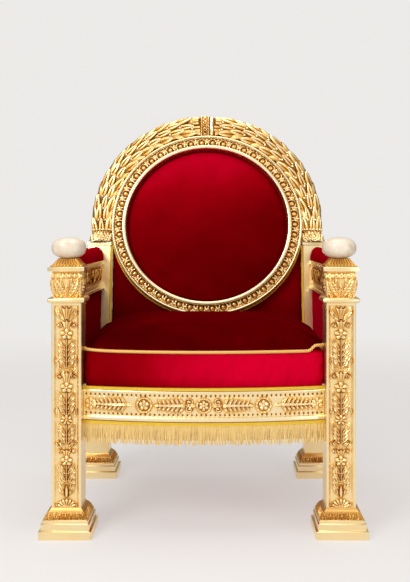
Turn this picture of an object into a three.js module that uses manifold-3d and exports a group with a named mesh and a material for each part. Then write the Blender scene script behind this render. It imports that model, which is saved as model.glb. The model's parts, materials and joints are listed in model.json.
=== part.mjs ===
// A gilded Empire throne: round back in a laurel arch, square carved front posts with cream
// balls, carved arm rails, a bowed front rail with braid and fringe, and red velvet upholstery.
// Millimetres, +Z up. The front faces -Y. The origin is on the floor, under the middle.
import * as THREE from 'three';
import { ConvexGeometry } from 'three/addons/geometries/ConvexGeometry.js';
import { mergeVertices } from 'three/addons/utils/BufferGeometryUtils.js';
import Module from 'manifold-3d';

// ---------- Driving dimensions ----------

const GAP = 0.3;              // between pieces that touch
const POST_X = 366;           // centre line of the posts, left and right
const LEG_SPACING = 565;      // from the front posts' centre line (y = 0) to the back posts'
const POST_HALF = 39.5;       // half the width of a square post
const FOOT_HALF = 69.5;       // half the width of the lowest plinth

const PANEL = { bottom: 78, top: 615, half: 30, depth: 4 };
const COLLAR_Z = 622;         // underside of the collar on the front posts
const ABACUS_Z = 706;         // underside of the flat block on the capital
const CAP_TOP_Z = 739;        // top of the small pyramid that carries the ball
const BALL = { half: 46.5, height: 58, roundness: 2.35 };

const RAIL = { bottom: 294, top: 388, frieze: [318, 379], half: 33 };
const BOW = { ends: -9.5, depth: 40, half: 326.2, thickness: 44 };
const GIMP = { height: 9, thickness: 4 };
const FRINGE = { bottom: 247, thickness: 7 };

const SEAT = { half: 318, rear_half: 346, shoulder: 0.113, piping: 490, crown: 66, back: 518 };

const RAKE = THREE.MathUtils.degToRad(10);     // lean of the back above the seat rail
const FLATTEN = 0.958;                         // height over width of the ring and the arch
const STILE_DEPTH = 54;                        // at its top; it tapers up from the leg
const RING = { height: 453, inner: 274, outer: 323, eggs: 50 };
const ARCH = { height: 461, radius: 357, half: 31, foot: 396, collar: 436 };
const BACK_PANEL = { bottom: 10, front: 12, rear: 46 };

const ARM = { x: 374, bottom: 622, top: 715, half: 23, pad: 47 };

// ---------- Finishes ----------

const GOLD = { color: 0xd9a441, roughness: 0.32, metalness: 1.0 };
const IVORY = { color: 0xebe1d2, roughness: 0.35, metalness: 0.0 };
const VELVET = { color: 0x9c0018, roughness: 0.9, metalness: 0.0 };
const BRAID = { color: 0xd8b04a, roughness: 0.6, metalness: 0.3 };

// ---------- Solids ----------

const wasm = await Module();
wasm.setup();

function signedVolume(position, index) {
  const [a, b, c] = [new THREE.Vector3(), new THREE.Vector3(), new THREE.Vector3()];
  let sum = 0;
  for (let i = 0; i < index.count; i += 3) {
    a.fromBufferAttribute(position, index.getX(i));
    b.fromBufferAttribute(position, index.getX(i + 1));
    c.fromBufferAttribute(position, index.getX(i + 2));
    sum += a.dot(b.cross(c)) / 6;
  }
  return sum;
}

// A closed geometry of any winding becomes a solid that faces out.
function solid(geometry) {
  const plain = new THREE.BufferGeometry();
  plain.setAttribute('position', geometry.attributes.position.clone());
  if (geometry.index) plain.setIndex(geometry.index.clone());
  const merged = mergeVertices(plain, 1e-3);
  const triVerts = new Uint32Array(merged.index.array);
  if (signedVolume(merged.attributes.position, merged.index) < 0) triVerts.reverse();
  const vertProperties = new Float32Array(merged.attributes.position.array);
  return new wasm.Manifold(new wasm.Mesh({ numProp: 3, vertProperties, triVerts }));
}

function joined(geometries) {
  return geometries.map(solid).reduce((whole, next) => whole.add(next));
}

function geometryOf(manifold) {
  const mesh = manifold.getMesh();
  const geometry = new THREE.BufferGeometry();
  geometry.setAttribute('position', new THREE.BufferAttribute(mesh.vertProperties, 3));
  geometry.setIndex(new THREE.BufferAttribute(mesh.triVerts, 1));
  return geometry;
}

function part(name, manifold, finish) {
  const mesh = new THREE.Mesh(geometryOf(manifold), new THREE.MeshStandardMaterial(finish));
  mesh.name = name;
  return mesh;
}

// ---------- Plain forms ----------

function box(x0, x1, y0, y1, z0, z1) {
  const geometry = new THREE.BoxGeometry(x1 - x0, y1 - y0, z1 - z0);
  return geometry.translate((x0 + x1) / 2, (y0 + y1) / 2, (z0 + z1) / 2);
}

// Skins a row of rings that have the same number of points, and closes both ends.
function loft(rings) {
  const sides = rings[0].length;
  const points = rings.flat();
  const centre = (ring) => ring.reduce((sum, p) => sum.add(p), new THREE.Vector3()).divideScalar(sides);
  points.push(centre(rings[0]), centre(rings.at(-1)));
  const index = [];
  for (let i = 0; i < sides; i += 1) {
    const j = (i + 1) % sides;
    for (let k = 0; k < rings.length - 1; k += 1) {
      const [low, high] = [k * sides, (k + 1) * sides];
      index.push(low + i, low + j, high + j, low + i, high + j, high + i);
    }
    const last = (rings.length - 1) * sides;
    index.push(points.length - 2, j, i, points.length - 1, last + i, last + j);
  }
  return new THREE.BufferGeometry().setFromPoints(points).setIndex(index);
}

// A square turning: each level is [height, half width], around a post's centre line.
function squareStack(levels, x, y) {
  const corners = [[-1, -1], [1, -1], [1, 1], [-1, 1]];
  const ring = ([z, half]) => corners.map(([i, j]) => new THREE.Vector3(x + i * half, y + j * half, z));
  return loft(levels.map(ring));
}

// A square band of leaves: each level is [height, half width, how deep the furrows between the
// leaves are cut]. Leaf crests and furrows alternate along every side.
function leafBand(levels, leavesPerSide, x, y) {
  const steps = 2 * leavesPerSide;
  const ring = ([z, half, furrow]) => [0, 1, 2, 3].flatMap((quarter) => {
    const turn = (quarter * Math.PI) / 2;
    return Array.from({ length: steps }, (_, k) => {
      const reach = k % 2 ? half : half - furrow;
      const along = k ? half * ((2 * k) / steps - 1) : -reach;
      const point = new THREE.Vector3(along, -reach, z).applyAxisAngle(UP, turn);
      return point.add(new THREE.Vector3(x, y, 0));
    });
  });
  return loft(levels.map(ring));
}

// A plan outline raised from z0 to z1.
function slab(outline, z0, z1) {
  const options = { depth: z1 - z0, bevelEnabled: false };
  return new THREE.ExtrudeGeometry(new THREE.Shape(outline), options).translate(0, 0, z0);
}

// ---------- Carving ----------
// Each motif lies in its own plane: x to the right, y up, z out of the face. EMBED is how far
// its foot reaches below the face, so that it joins the ground cleanly.

const EMBED = 1.2;
const FEATHER_ANGLE = 0.75;   // between a feather's leaves and its middle line, in radians

function leaf(length, width, height) {
  const half = width / 2;
  return new ConvexGeometry([
    new THREE.Vector3(0, 0, -EMBED),
    new THREE.Vector3(half, 0.45 * length, -EMBED),
    new THREE.Vector3(0, length, -EMBED),
    new THREE.Vector3(-half, 0.45 * length, -EMBED),
    new THREE.Vector3(0, 0.6 * length, height),
  ]);
}

function star(petals, radius, height) {
  const points = [new THREE.Vector3(0, 0, height), new THREE.Vector3(0, 0, -EMBED)];
  const index = [];
  const count = 2 * petals;
  for (let i = 0; i < count; i += 1) {
    const reach = i % 2 ? 0.62 * radius : radius;
    const angle = (i * Math.PI) / petals;
    points.push(new THREE.Vector3(reach * Math.sin(angle), reach * Math.cos(angle), -EMBED));
    const next = 2 + ((i + 1) % count);
    index.push(0, next, 2 + i, 1, 2 + i, next);
  }
  return new THREE.BufferGeometry().setFromPoints(points).setIndex(index);
}

function turned(geometry, angle, x = 0, y = 0) {
  return geometry.rotateZ(angle).translate(x, y, 0);
}

// Leaves spread like a fan from one point, each as wide as its share of the fan allows.
function fan(count, spread, length, height, x, y) {
  const step = spread / (count - 1);
  const width = 0.86 * length * Math.tan(step / 2);
  return Array.from({ length: count }, (_, i) => {
    const angle = spread / 2 - i * step;
    return turned(leaf(length, width, height).translate(0, 2, 0), angle, x, y);
  });
}

// Pairs of leaves that open in a V along a stem, from y0 up to y1.
function feather(pairs, y0, y1, length, width, height) {
  const motifs = [];
  for (let i = 0; i < pairs; i += 1) {
    const y = y0 + ((y1 - y0) * i) / pairs;
    for (const side of [-1, 1]) {
      motifs.push(turned(leaf(length, width, height), -side * FEATHER_ANGLE, side, y));
    }
  }
  return motifs;
}

const RIGHT = new THREE.Vector3(1, 0, 0);
const UP = new THREE.Vector3(0, 0, 1);

// Lays motifs on a face, given a point of it and its right and up directions.
function layOn(motifs, origin, right, up) {
  const out = new THREE.Vector3().crossVectors(right, up);
  const frame = new THREE.Matrix4().makeBasis(right, up, out).setPosition(origin);
  return motifs.map((motif) => motif.applyMatrix4(frame));
}

// ---------- Posts ----------

const FOOT = [[0, FOOT_HALF], [22, FOOT_HALF], [22, 64], [40, 64], [40, 60.5], [49, 60.5],
  [49, POST_HALF]];
const FOOT_LEAVES = [[49, 59, 5], [58, 54, 4], [69, 45, 2]];

const HEAD = [[COLLAR_Z, POST_HALF], [COLLAR_Z, 45], [626, 49.5], [633, 49.5], [637, 44],
  [637, 31], [ABACUS_Z, 31], [ABACUS_Z, 48.5], [718, 48.5], [718, 40], [728, 33], [CAP_TOP_Z, 23]];
const ACANTHUS = [[637, 34, 2], [672, 43, 6], [684, 38, 3]];
const LEAF_TIPS = [[684, 38, 3], [ABACUS_Z, 42, 4]];

// The candelabrum of cups, stars and feathered leaves on the front panel of a post, from the
// shell at its foot to the tulip at its head. Heights are above the floor.
function candelabrum() {
  return [
    ...fan(5, 2.6, 27, 5, 0, 80),
    ...fan(3, 1.5, 38, 6, 0, 110),
    ...feather(3, 153, 207, 27, 11, 5),
    turned(star(5, 13, 6), 0, 0, 212),
    ...fan(3, 1.4, 32, 6, 0, 222),
    ...feather(3, 260, 314, 27, 11, 5),
    ...fan(5, 2.6, 26, 5, 0, 318),
    ...feather(2, 350, 386, 27, 11, 5),
    turned(star(5, 14, 6), 0, 0, 404),
    ...fan(3, 1.7, 27, 6, 0, 416),
    ...feather(4, 448, 520, 27, 11, 5),
    turned(star(5, 15, 6), 0, 0, 538),
    ...fan(3, 1.8, 26, 6, 0, 552),
    ...fan(3, 1.3, 32, 6, 0, 580),
  ];
}

function frontPost(x) {
  const body = solid(squareStack([...FOOT, ...HEAD], x, 0));
  const { half, bottom, top, depth } = PANEL;
  const sunk = box(x - half, x + half, -POST_HALF - 1, -POST_HALF + depth, bottom, top);
  const ground = new THREE.Vector3(x, -POST_HALF + depth, 0);
  const carving = layOn(candelabrum(), ground, RIGHT, UP);
  const bands = [
    leafBand(FOOT_LEAVES, 4, x, 0),
    leafBand(ACANTHUS, 3, x, 0),
    leafBand(LEAF_TIPS, 4, x, 0),
  ];
  const cut = body.subtract(solid(sunk)).subtract(solid(outerPanel(x)));
  return cut.add(joined([...carving, ...bands]));
}

// The outer side of a front post has a plain sunk panel.
function outerPanel(x) {
  const { half, bottom, top, depth } = PANEL;
  const side = Math.sign(x);
  const [inner, outer] = [x + side * (POST_HALF - depth), x + side * (POST_HALF + 1)];
  return box(Math.min(inner, outer), Math.max(inner, outer), -half, half, bottom, top);
}

// A ball squashed from above: its outline is a superellipse turned about the post's axis.
function ball() {
  const steps = 7;
  const outline = Array.from({ length: steps + 1 }, (_, i) => {
    const angle = (i / steps - 0.5) * Math.PI;
    const power = 2 / BALL.roundness;
    const radius = i % steps ? BALL.half * Math.cos(angle) ** power : 0;
    const rise = Math.sign(angle) * Math.abs(Math.sin(angle)) ** power;
    return new THREE.Vector2(radius, (BALL.height / 2) * rise);
  });
  const geometry = new THREE.LatheGeometry(outline, 14).rotateX(Math.PI / 2);
  return solid(geometry.translate(0, 0, CAP_TOP_Z + GAP + BALL.height / 2));
}

// The raked frame of the back: its origin is where the stiles' front faces meet the seat rail.
const BACK_FACE_Y = LEG_SPACING - POST_HALF;
const RAKED = new THREE.Matrix4().makeRotationX(-RAKE).setPosition(0, BACK_FACE_Y, RAIL.top);

function rakedPoint(x, y, z) {
  return new THREE.Vector3(x, y, z).applyMatrix4(RAKED);
}

// The leaning part of a back post grows out of the leg without a step in its front face.
function stile(x) {
  const rear = BACK_FACE_Y + 2 * POST_HALF;
  const top = ARCH.foot - 12;
  const ring = (at) => [
    new THREE.Vector3(at, BACK_FACE_Y, RAIL.top - 20),
    new THREE.Vector3(at, BACK_FACE_Y, RAIL.top),
    rakedPoint(at, 0, top),
    rakedPoint(at, STILE_DEPTH, top),
    new THREE.Vector3(at, rear, RAIL.top),
    new THREE.Vector3(at, rear, RAIL.top - 20),
  ];
  return loft([ring(x - POST_HALF), ring(x + POST_HALF)]);
}

function backPost(x) {
  const leg = squareStack([...FOOT, [RAIL.top, POST_HALF]], x, LEG_SPACING);
  const fillet = box(x - POST_HALF, x + POST_HALF, -4, STILE_DEPTH + 2, ARCH.foot - 12, ARCH.foot);
  return joined([leg, stile(x), fillet.applyMatrix4(RAKED), leafBand(FOOT_LEAVES, 4, x, LEG_SPACING)]);
}

// ---------- Seat rails ----------

// The front of the rail bows forward: y for each x, set back from its furthest line.
function bowY(x, setback = 0) {
  return BOW.ends - BOW.depth * (1 - (x / BOW.half) ** 2) + setback;
}

// A band that follows the bow, between two distances behind its furthest line.
function bowBand(front, rear, half, z0, z1) {
  const steps = 10;
  const xs = Array.from({ length: steps + 1 }, (_, i) => half * ((2 * i) / steps - 1));
  const near = xs.map((x) => new THREE.Vector2(x, bowY(x, front)));
  const far = xs.map((x) => new THREE.Vector2(x, bowY(x, rear))).reverse();
  return slab([...near, ...far], z0, z1);
}

// A spray of leaf pairs that ends in a single leaf.
function spray(length, pairs, leafLength) {
  const motifs = feather(pairs, 0, length - leafLength, leafLength, 9, 5);
  motifs.push(turned(leaf(leafLength * 1.2, 12, 6), 0, 0, length - leafLength * 1.2));
  return motifs;
}

function frontRailCarving() {
  const quarter = Math.PI / 2;
  const middle = (RAIL.frieze[0] + RAIL.frieze[1]) / 2;
  const motifs = [{ x: 0, shapes: [star(6, 22, 8)] }];
  for (const side of [-1, 1]) {
    const heading = -side * quarter;
    const along = (shapes) => shapes.map((shape) => turned(shape, heading));
    motifs.push({ x: side * 42, shapes: [star(5, 14, 6)] });
    motifs.push({ x: side * 58, shapes: along(spray(74, 2, 28)) });
    motifs.push({ x: side * 158, shapes: [star(6, 22, 8)] });
    motifs.push({ x: side * 184, shapes: along(spray(58, 2, 24)) });
    motifs.push({ x: side * 240, shapes: along(spray(58, 2, 24)) });
    motifs.push({ x: side * 308, shapes: [star(5, 16, 7)] });
  }
  return motifs.flatMap(({ x, shapes }) => {
    const slope = (2 * BOW.depth * x) / BOW.half ** 2;
    const right = new THREE.Vector3(1, slope, 0).normalize();
    const ground = new THREE.Vector3(x, bowY(x, 5), middle);
    return layOn(shapes, ground, right, UP);
  });
}

function frontRail() {
  const [low, high] = RAIL.frieze;
  const half = BOW.half - GAP;
  const bands = [
    bowBand(4, BOW.thickness, half, RAIL.bottom + 2, RAIL.top),
    bowBand(0, 12, half, RAIL.bottom + 11, low),
    bowBand(0, 12, half, high, RAIL.top),
  ];
  return joined([...bands, ...frontRailCarving()]);
}

function sideRail(side) {
  const [low, high] = RAIL.frieze;
  const [y0, y1] = [POST_HALF + GAP, LEG_SPACING - POST_HALF - GAP];
  const bar = (half, z0, z1) => box(side * POST_X - half, side * POST_X + half, y0, y1, z0, z1);
  const right = new THREE.Vector3(0, side, 0);
  const face = side * (POST_X + RAIL.half - 4);
  const rosettes = [0.2, 0.5, 0.8].flatMap((share) => {
    const origin = new THREE.Vector3(face, THREE.MathUtils.lerp(y0, y1, share), (low + high) / 2);
    return layOn([star(6, 22, 8)], origin, right, UP);
  });
  return joined([
    bar(RAIL.half - 4, RAIL.bottom + 2, RAIL.top),
    bar(RAIL.half, RAIL.bottom + 11, low),
    bar(RAIL.half, high, RAIL.top),
    ...rosettes,
  ]);
}

function backRail() {
  const half = POST_X - POST_HALF - GAP;
  return solid(box(-half, half, LEG_SPACING - 20, LEG_SPACING + 25, RAIL.bottom + 2, RAIL.top));
}

// ---------- Braid and fringe ----------

function frontGimp(z0) {
  const half = BOW.half - GAP;
  return solid(bowBand(-GIMP.thickness - GAP, -GAP, half, z0, z0 + GIMP.height));
}

// Bullion fringe: a thick curtain whose lower edge is cut into hanging bunches. place gives the
// point that lies x along the rail from its middle, y behind the curtain's face and z up.
function fringeCurtain(length, bunches, place) {
  const pitch = length / bunches;
  const top = RAIL.bottom + 1;
  const edge = [[0, 9], [0.3, 0], [0.75, 2]];   // along a bunch, and up from the lowest point
  const stations = [];
  for (let i = 0; i < bunches; i += 1) {
    edge.forEach(([t, rise]) => stations.push([(i + t) * pitch, rise]));
  }
  stations.push([length, 9]);
  return loft(stations.map(([run, rise]) => {
    const x = run - length / 2;
    const z = FRINGE.bottom + rise;
    return [
      place(x, 0, z),
      place(x, FRINGE.thickness, z),
      place(x, FRINGE.thickness, top),
      place(x, 0, top),
    ];
  }));
}

function frontFringe() {
  const place = (x, y, z) => new THREE.Vector3(x, bowY(x, y - 4), z);
  return solid(fringeCurtain(2 * (BOW.half - GAP), 10, place));
}

function sideFringe(side) {
  const [y0, y1] = [POST_HALF + GAP, LEG_SPACING - POST_HALF - GAP];
  const inner = POST_X + RAIL.half - 4;
  const place = (x, y, z) => new THREE.Vector3(side * (inner + y), (y0 + y1) / 2 + x, z);
  return solid(fringeCurtain(y1 - y0, 5, place));
}

// ---------- Upholstery ----------

// Plan outline of the seat, drawn in by the given inset. It widens behind the front posts, where
// its shoulders lie at a share of its depth.
function seatOutline(inset, steps = 6) {
  const half = SEAT.half - inset;
  const rear = SEAT.rear_half - inset;
  const front = bowY(half, inset + 4);
  const back = SEAT.back - inset;
  const shoulder = front + SEAT.shoulder * (back - front);
  const points = [];
  for (let i = 0; i <= steps; i += 1) {
    const x = half * ((2 * i) / steps - 1);
    points.push(new THREE.Vector2(x, bowY(x, inset + 4)));
  }
  const corner = (x, y) => points.push(new THREE.Vector2(x, y));
  corner(half, shoulder);
  corner(rear, shoulder);
  corner(rear, back);
  corner(-rear, back);
  corner(-rear, shoulder);
  corner(-half, shoulder);
  return points;
}

function seatCushion() {
  const level = (inset, z) => seatOutline(inset).map((p) => new THREE.Vector3(p.x, p.y, z));
  const crown = [0.02, 0.1, 0.25, 0.45, 0.7].map((share) => {
    const rise = Math.sqrt(1 - (1 - share) ** 2.2);
    return level(share * 0.8 * SEAT.half, SEAT.piping + SEAT.crown * rise);
  });
  return solid(loft([level(0, RAIL.top + GAP), level(0, SEAT.piping), ...crown]));
}

function seatPiping() {
  const shape = new THREE.Shape(seatOutline(-6 - GAP));
  shape.holes.push(new THREE.Path(seatOutline(-GAP)));
  const geometry = new THREE.ExtrudeGeometry(shape, { depth: 9, bevelEnabled: false });
  return solid(geometry.translate(0, 0, SEAT.piping - 6));
}

// The rear ends of the arms and side panels are cut to the lean of the stiles.
function stileY(z) {
  return BACK_FACE_Y + (z - RAIL.top) * Math.tan(RAKE) - 2 * GAP;
}

function armBar(x, half, z0, z1) {
  const front = POST_HALF + GAP;
  const corners = [[front, z0], [stileY(z0), z0], [stileY(z1), z1], [front, z1]];
  const ring = (at) => corners.map(([y, z]) => new THREE.Vector3(at, y, z));
  return loft([ring(x - half), ring(x + half)]);
}

// Room for a front post's collar, capital and abacus in the end of an arm rail.
function headRoom(x) {
  const [below, above] = [COLLAR_Z - 5, CAP_TOP_Z];
  const levels = [[below, 49.5], [637, 49.5], [637, 43], [ABACUS_Z, 43], [ABACUS_Z, 48.5], [above, 48.5]];
  return squareStack(levels.map(([z, half]) => [z, half + GAP]), x, 0);
}

function armRail(side) {
  const x = side * ARM.x;
  const bars = [
    armBar(x, ARM.half, ARM.bottom, ARM.top),
    armBar(x, ARM.half + 4, ARM.bottom, ARM.bottom + 9),
    armBar(x, ARM.half + 3, ARM.bottom + 15, ARM.bottom + 23),
    armBar(x, ARM.half + 4, ARM.top - 14, ARM.top),
  ];
  const rail = joined([...bars, ...armCarving(side, 1), ...armCarving(side, -1)]);
  return rail.subtract(solid(headRoom(side * POST_X)));
}

// Foliage on one face of an arm rail: a star in the middle, with sprays to both ends. The inner
// face has two sprays each way, and the outer face has one.
function armCarving(side, facing) {
  const outward = side * facing;
  const right = new THREE.Vector3(0, outward, 0);
  const middle = (POST_HALF + stileY(ARM.top)) / 2;
  const origin = new THREE.Vector3(side * ARM.x + outward * ARM.half, middle, ARM.top - 42);
  const shapes = [star(6, 22, 7)];
  for (const way of [-1, 1]) {
    for (const start of facing < 0 ? [28, 128] : [60]) {
      const heading = -way * (Math.PI / 2);
      const stretch = spray(92, 2, 30).map((shape) => turned(shape, heading, way * start));
      shapes.push(...stretch);
    }
  }
  return layOn(shapes, origin, right, UP);
}

// The arm pad is a half-round roll of velvet, set in a little from the rail.
function armPad(side) {
  const steps = 8;
  const y0 = POST_HALF + GAP + 10;
  const half = ARM.half + 2;
  const section = (t) => {
    const points = [];
    for (let i = 0; i <= steps; i += 1) {
      const angle = (i * Math.PI) / steps;
      const z = ARM.top + GAP + ARM.pad * t * Math.sin(angle) ** 0.8;
      const x = side * ARM.x + half * t * Math.cos(angle);
      points.push([x, z]);
    }
    return points;
  };
  const ring = (t, yOf) => section(t).map(([x, z]) => new THREE.Vector3(x, yOf(z), z));
  const end = (z) => stileY(z) - 3;
  return solid(loft([ring(0.8, () => y0), ring(1, () => y0 + 12), ring(1, end)]));
}

function sidePanel(side) {
  return solid(armBar(side * ARM.x, 20, RAIL.top + GAP, ARM.bottom - GAP));
}

// ---------- Back, drawn upright in its own raked frame ----------

function backPanel() {
  const steps = 28;
  const clearance = 1.2;
  const half = ARCH.radius - ARCH.half - clearance;
  const outline = Array.from({ length: steps + 1 }, (_, i) => {
    const angle = (i * Math.PI) / steps;
    const rise = FLATTEN * ARCH.radius - ARCH.half - clearance;
    return new THREE.Vector2(half * Math.cos(angle), ARCH.height + rise * Math.sin(angle));
  });
  outline.push(new THREE.Vector2(-half, BACK_PANEL.bottom), new THREE.Vector2(half, BACK_PANEL.bottom));
  const geometry = new THREE.ExtrudeGeometry(new THREE.Shape(outline), {
    depth: BACK_PANEL.rear - BACK_PANEL.front,
    bevelEnabled: false,
  });
  return solid(geometry.rotateX(Math.PI / 2).translate(0, BACK_PANEL.rear, 0));
}

// Outline of the ring across its width: thin lip, inner rim, sunk egg band, outer rim.
const RING_PROFILE = [[RING.inner, 11.7], [RING.inner, -16], [280, -31], [288, -20],
  [311, -20], [315, -33], [RING.outer, -28], [RING.outer, 11.7]];

function egg() {
  const base = Array.from({ length: 5 }, (_, i) => {
    const angle = (i * Math.PI) / 2.5;
    return new THREE.Vector3(11 * Math.cos(angle), 11 * Math.sin(angle), -EMBED);
  });
  return new ConvexGeometry([...base, new THREE.Vector3(0, 0, 9)]);
}

function dart() {
  const base = [[-3.5, 10], [3.5, 10], [0, -11]].map(([x, y]) => new THREE.Vector3(x, y, -EMBED));
  return new ConvexGeometry([...base, new THREE.Vector3(0, 5, 6)]);
}

function ringFrame() {
  const profile = RING_PROFILE.map(([r, y]) => new THREE.Vector2(r, y));
  profile.push(profile[0]);
  const pieces = [new THREE.LatheGeometry(profile, RING.eggs)];
  const face = new THREE.Matrix4().makeRotationX(Math.PI / 2).setPosition(0, -20, 0);
  const step = (2 * Math.PI) / RING.eggs;
  for (let i = 0; i < RING.eggs; i += 1) {
    pieces.push(egg().translate(0, 299.5, 0).rotateZ(step * (i + 0.5)).applyMatrix4(face));
    pieces.push(dart().translate(0, 299.5, 0).rotateZ(step * i).applyMatrix4(face));
  }
  const ring = geometryOf(joined(pieces));
  return solid(ring.scale(1, 1, FLATTEN).translate(0, 0, RING.height));
}

function medallion() {
  const radius = RING.inner - 1;
  const outline = [[0, 11.5], [radius, 11.5], [radius, -8], [0.85 * radius, -17], [0.5 * radius, -25],
    [0, -28]];
  const geometry = new THREE.LatheGeometry(outline.map(([r, y]) => new THREE.Vector2(r, y)), 26);
  return solid(geometry.scale(1, 1, FLATTEN).translate(0, 0, RING.height));
}

// The arch's centre line runs straight up from its foot, then round to the top. This gives the
// point that lies a (in half widths) across it and y in front, and for a = 0 and y = 0 the line.
function archPoint3(distance, side, a = 0, y = 0) {
  const straight = ARCH.height - ARCH.foot;
  const angle = Math.max(0, distance - straight) / ARCH_MEAN_RADIUS;
  const rise = Math.min(distance, straight) - straight;
  const radius = ARCH.radius + a * ARCH.half;
  const flat = FLATTEN * ARCH.radius + a * ARCH.half;
  return new THREE.Vector3(side * radius * Math.cos(angle), y, ARCH.height + rise + flat * Math.sin(angle));
}

const ARCH_MEAN_RADIUS = ((1 + FLATTEN) / 2) * ARCH.radius;
const ARCH_LENGTH = ARCH.height - ARCH.foot + (ARCH_MEAN_RADIUS * Math.PI) / 2;
const ARCH_THICKNESS = 44;
const LAUREL = { rows: 12, relief: 7, across: [-0.97, -0.66, -0.33, 0, 0.33, 0.66, 0.97] };

// Front of the half-round branch below its leaves, at a half widths across.
function branchY(a) {
  return -2 - 13 * Math.sqrt(Math.max(0, 1 - a * a));
}

// One side of the laurel branch: rows of three leaves that rise to their tips, each row tucked
// under the next. Tips reach further along the branch than the furrows between them.
function laurelBranch(side) {
  const start = ARCH.collar - ARCH.foot;
  const pitch = (ARCH_LENGTH - start) / LAUREL.rows;
  const ring = (furrowAt, crestAt, relief) => [
    archPoint3(furrowAt, side, -1, ARCH_THICKNESS),
    ...LAUREL.across.map((a, i) => {
      const crest = i % 2 === 1;
      return archPoint3(crest ? crestAt : furrowAt, side, a, branchY(a) - (crest ? relief : 0));
    }),
    archPoint3(furrowAt, side, 1, ARCH_THICKNESS),
  ];
  const rings = [ring(0, 0, 1), ring(start, start, 1)];
  for (let k = 0; k < LAUREL.rows; k += 1) {
    const base = start + k * pitch;
    rings.push(ring(base + 0.5 * pitch, base + 0.94 * pitch, LAUREL.relief));
    rings.push(ring(base + 0.56 * pitch, base + pitch, 1));
  }
  rings.push(ring(ARCH_LENGTH + 4, ARCH_LENGTH + 4, 1));
  return loft(rings);
}

// Below the leaves: a plain collar, and a palmette on the foot under it.
function archFoot(side) {
  const x = side * ARCH.radius;
  const [inner, outer] = [x - side * ARCH.half, x + side * (ARCH.half + 4)];
  const [x0, x1] = [Math.min(inner, outer), Math.max(inner, outer)];
  const collar = box(x0, x1, -21, ARCH_THICKNESS, ARCH.collar - 5, ARCH.collar + 4);
  const origin = new THREE.Vector3(x, branchY(0) - 1, ARCH.foot + 2);
  return [collar, ...layOn(fan(3, 1.7, 28, 6, 0, 0), origin, RIGHT, UP)];
}

function topStrap() {
  const middle = ARCH.height + FLATTEN * ARCH.radius;
  const front = -21;
  const band = box(-18, 18, front, ARCH_THICKNESS + 3, middle - ARCH.half, middle + ARCH.half + 3);
  const beads = [-19, 0, 19].map((rise) => {
    return star(5, 9, 4).rotateX(Math.PI / 2).translate(0, front, middle + rise);
  });
  return [band, ...beads];
}

function laurelArch() {
  const pieces = [laurelBranch(1), laurelBranch(-1), ...archFoot(1), ...archFoot(-1), ...topStrap()];
  return joined(pieces.map((piece) => piece.translate(0, 0, GAP)));
}

// ---------- The throne ----------

const throne = new THREE.Group();

for (const [side, word] of [[-1, 'left'], [1, 'right']]) {
  const knob = part(`ball_${word}`, ball(), IVORY);
  knob.position.x = side * POST_X;
  throne.add(
    part(`front_post_${word}`, frontPost(side * POST_X), GOLD),
    part(`back_post_${word}`, backPost(side * POST_X), GOLD),
    part(`arm_rail_${word}`, armRail(side), GOLD),
    part(`seat_rail_${word}`, sideRail(side), GOLD),
    part(`arm_pad_${word}`, armPad(side), VELVET),
    part(`side_panel_${word}`, sidePanel(side), VELVET),
    part(`fringe_${word}`, sideFringe(side), BRAID),
    knob,
  );
}

throne.add(
  part('seat_rail_front', frontRail(), GOLD),
  part('seat_rail_back', backRail(), GOLD),
  part('gimp_upper', frontGimp(RAIL.top + GAP), BRAID),
  part('gimp_lower', frontGimp(RAIL.bottom + 2), BRAID),
  part('fringe_front', frontFringe(), BRAID),
  part('seat_cushion', seatCushion(), VELVET),
  part('seat_piping', seatPiping(), BRAID),
);

const back = new THREE.Group();
back.rotation.x = -RAKE;
back.position.set(0, BACK_FACE_Y, RAIL.top);
back.add(
  part('back_panel', backPanel(), VELVET),
  part('ring_frame', ringFrame(), GOLD),
  part('back_medallion', medallion(), VELVET),
  part('laurel_arch', laurelArch(), GOLD),
);
throne.add(back);

// The front posts were drawn at y = 0: the whole moves so that the origin is under its middle.
throne.updateMatrixWorld(true);
const extent = new THREE.Box3().setFromObject(throne, true);
throne.position.y = -(extent.min.y + extent.max.y) / 2;

export default throne;
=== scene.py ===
"""A gilded Empire throne with red velvet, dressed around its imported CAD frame."""
import json
import math

import bpy
import numpy as np
from mathutils import Matrix, Vector


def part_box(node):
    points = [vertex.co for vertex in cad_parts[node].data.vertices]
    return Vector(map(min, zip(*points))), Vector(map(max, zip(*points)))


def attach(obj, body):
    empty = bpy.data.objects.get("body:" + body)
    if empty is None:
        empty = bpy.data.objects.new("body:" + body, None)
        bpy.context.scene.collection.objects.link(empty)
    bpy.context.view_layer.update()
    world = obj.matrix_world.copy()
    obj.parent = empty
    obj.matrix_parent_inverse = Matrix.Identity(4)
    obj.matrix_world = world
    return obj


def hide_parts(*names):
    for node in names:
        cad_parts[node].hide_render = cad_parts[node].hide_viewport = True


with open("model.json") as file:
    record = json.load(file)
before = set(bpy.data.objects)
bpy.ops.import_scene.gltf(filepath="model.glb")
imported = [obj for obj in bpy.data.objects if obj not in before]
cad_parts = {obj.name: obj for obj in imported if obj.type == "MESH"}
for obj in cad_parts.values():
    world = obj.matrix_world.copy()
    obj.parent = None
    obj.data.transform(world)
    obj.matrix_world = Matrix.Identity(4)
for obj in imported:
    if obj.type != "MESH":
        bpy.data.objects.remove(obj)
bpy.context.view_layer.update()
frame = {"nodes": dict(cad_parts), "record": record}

MM = 0.001
PI = math.pi

# ---------- Places, in millimetres in the frame's own axes ----------


def middle(node):
    low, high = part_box(node)
    return (low + high) / 2 / MM


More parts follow.
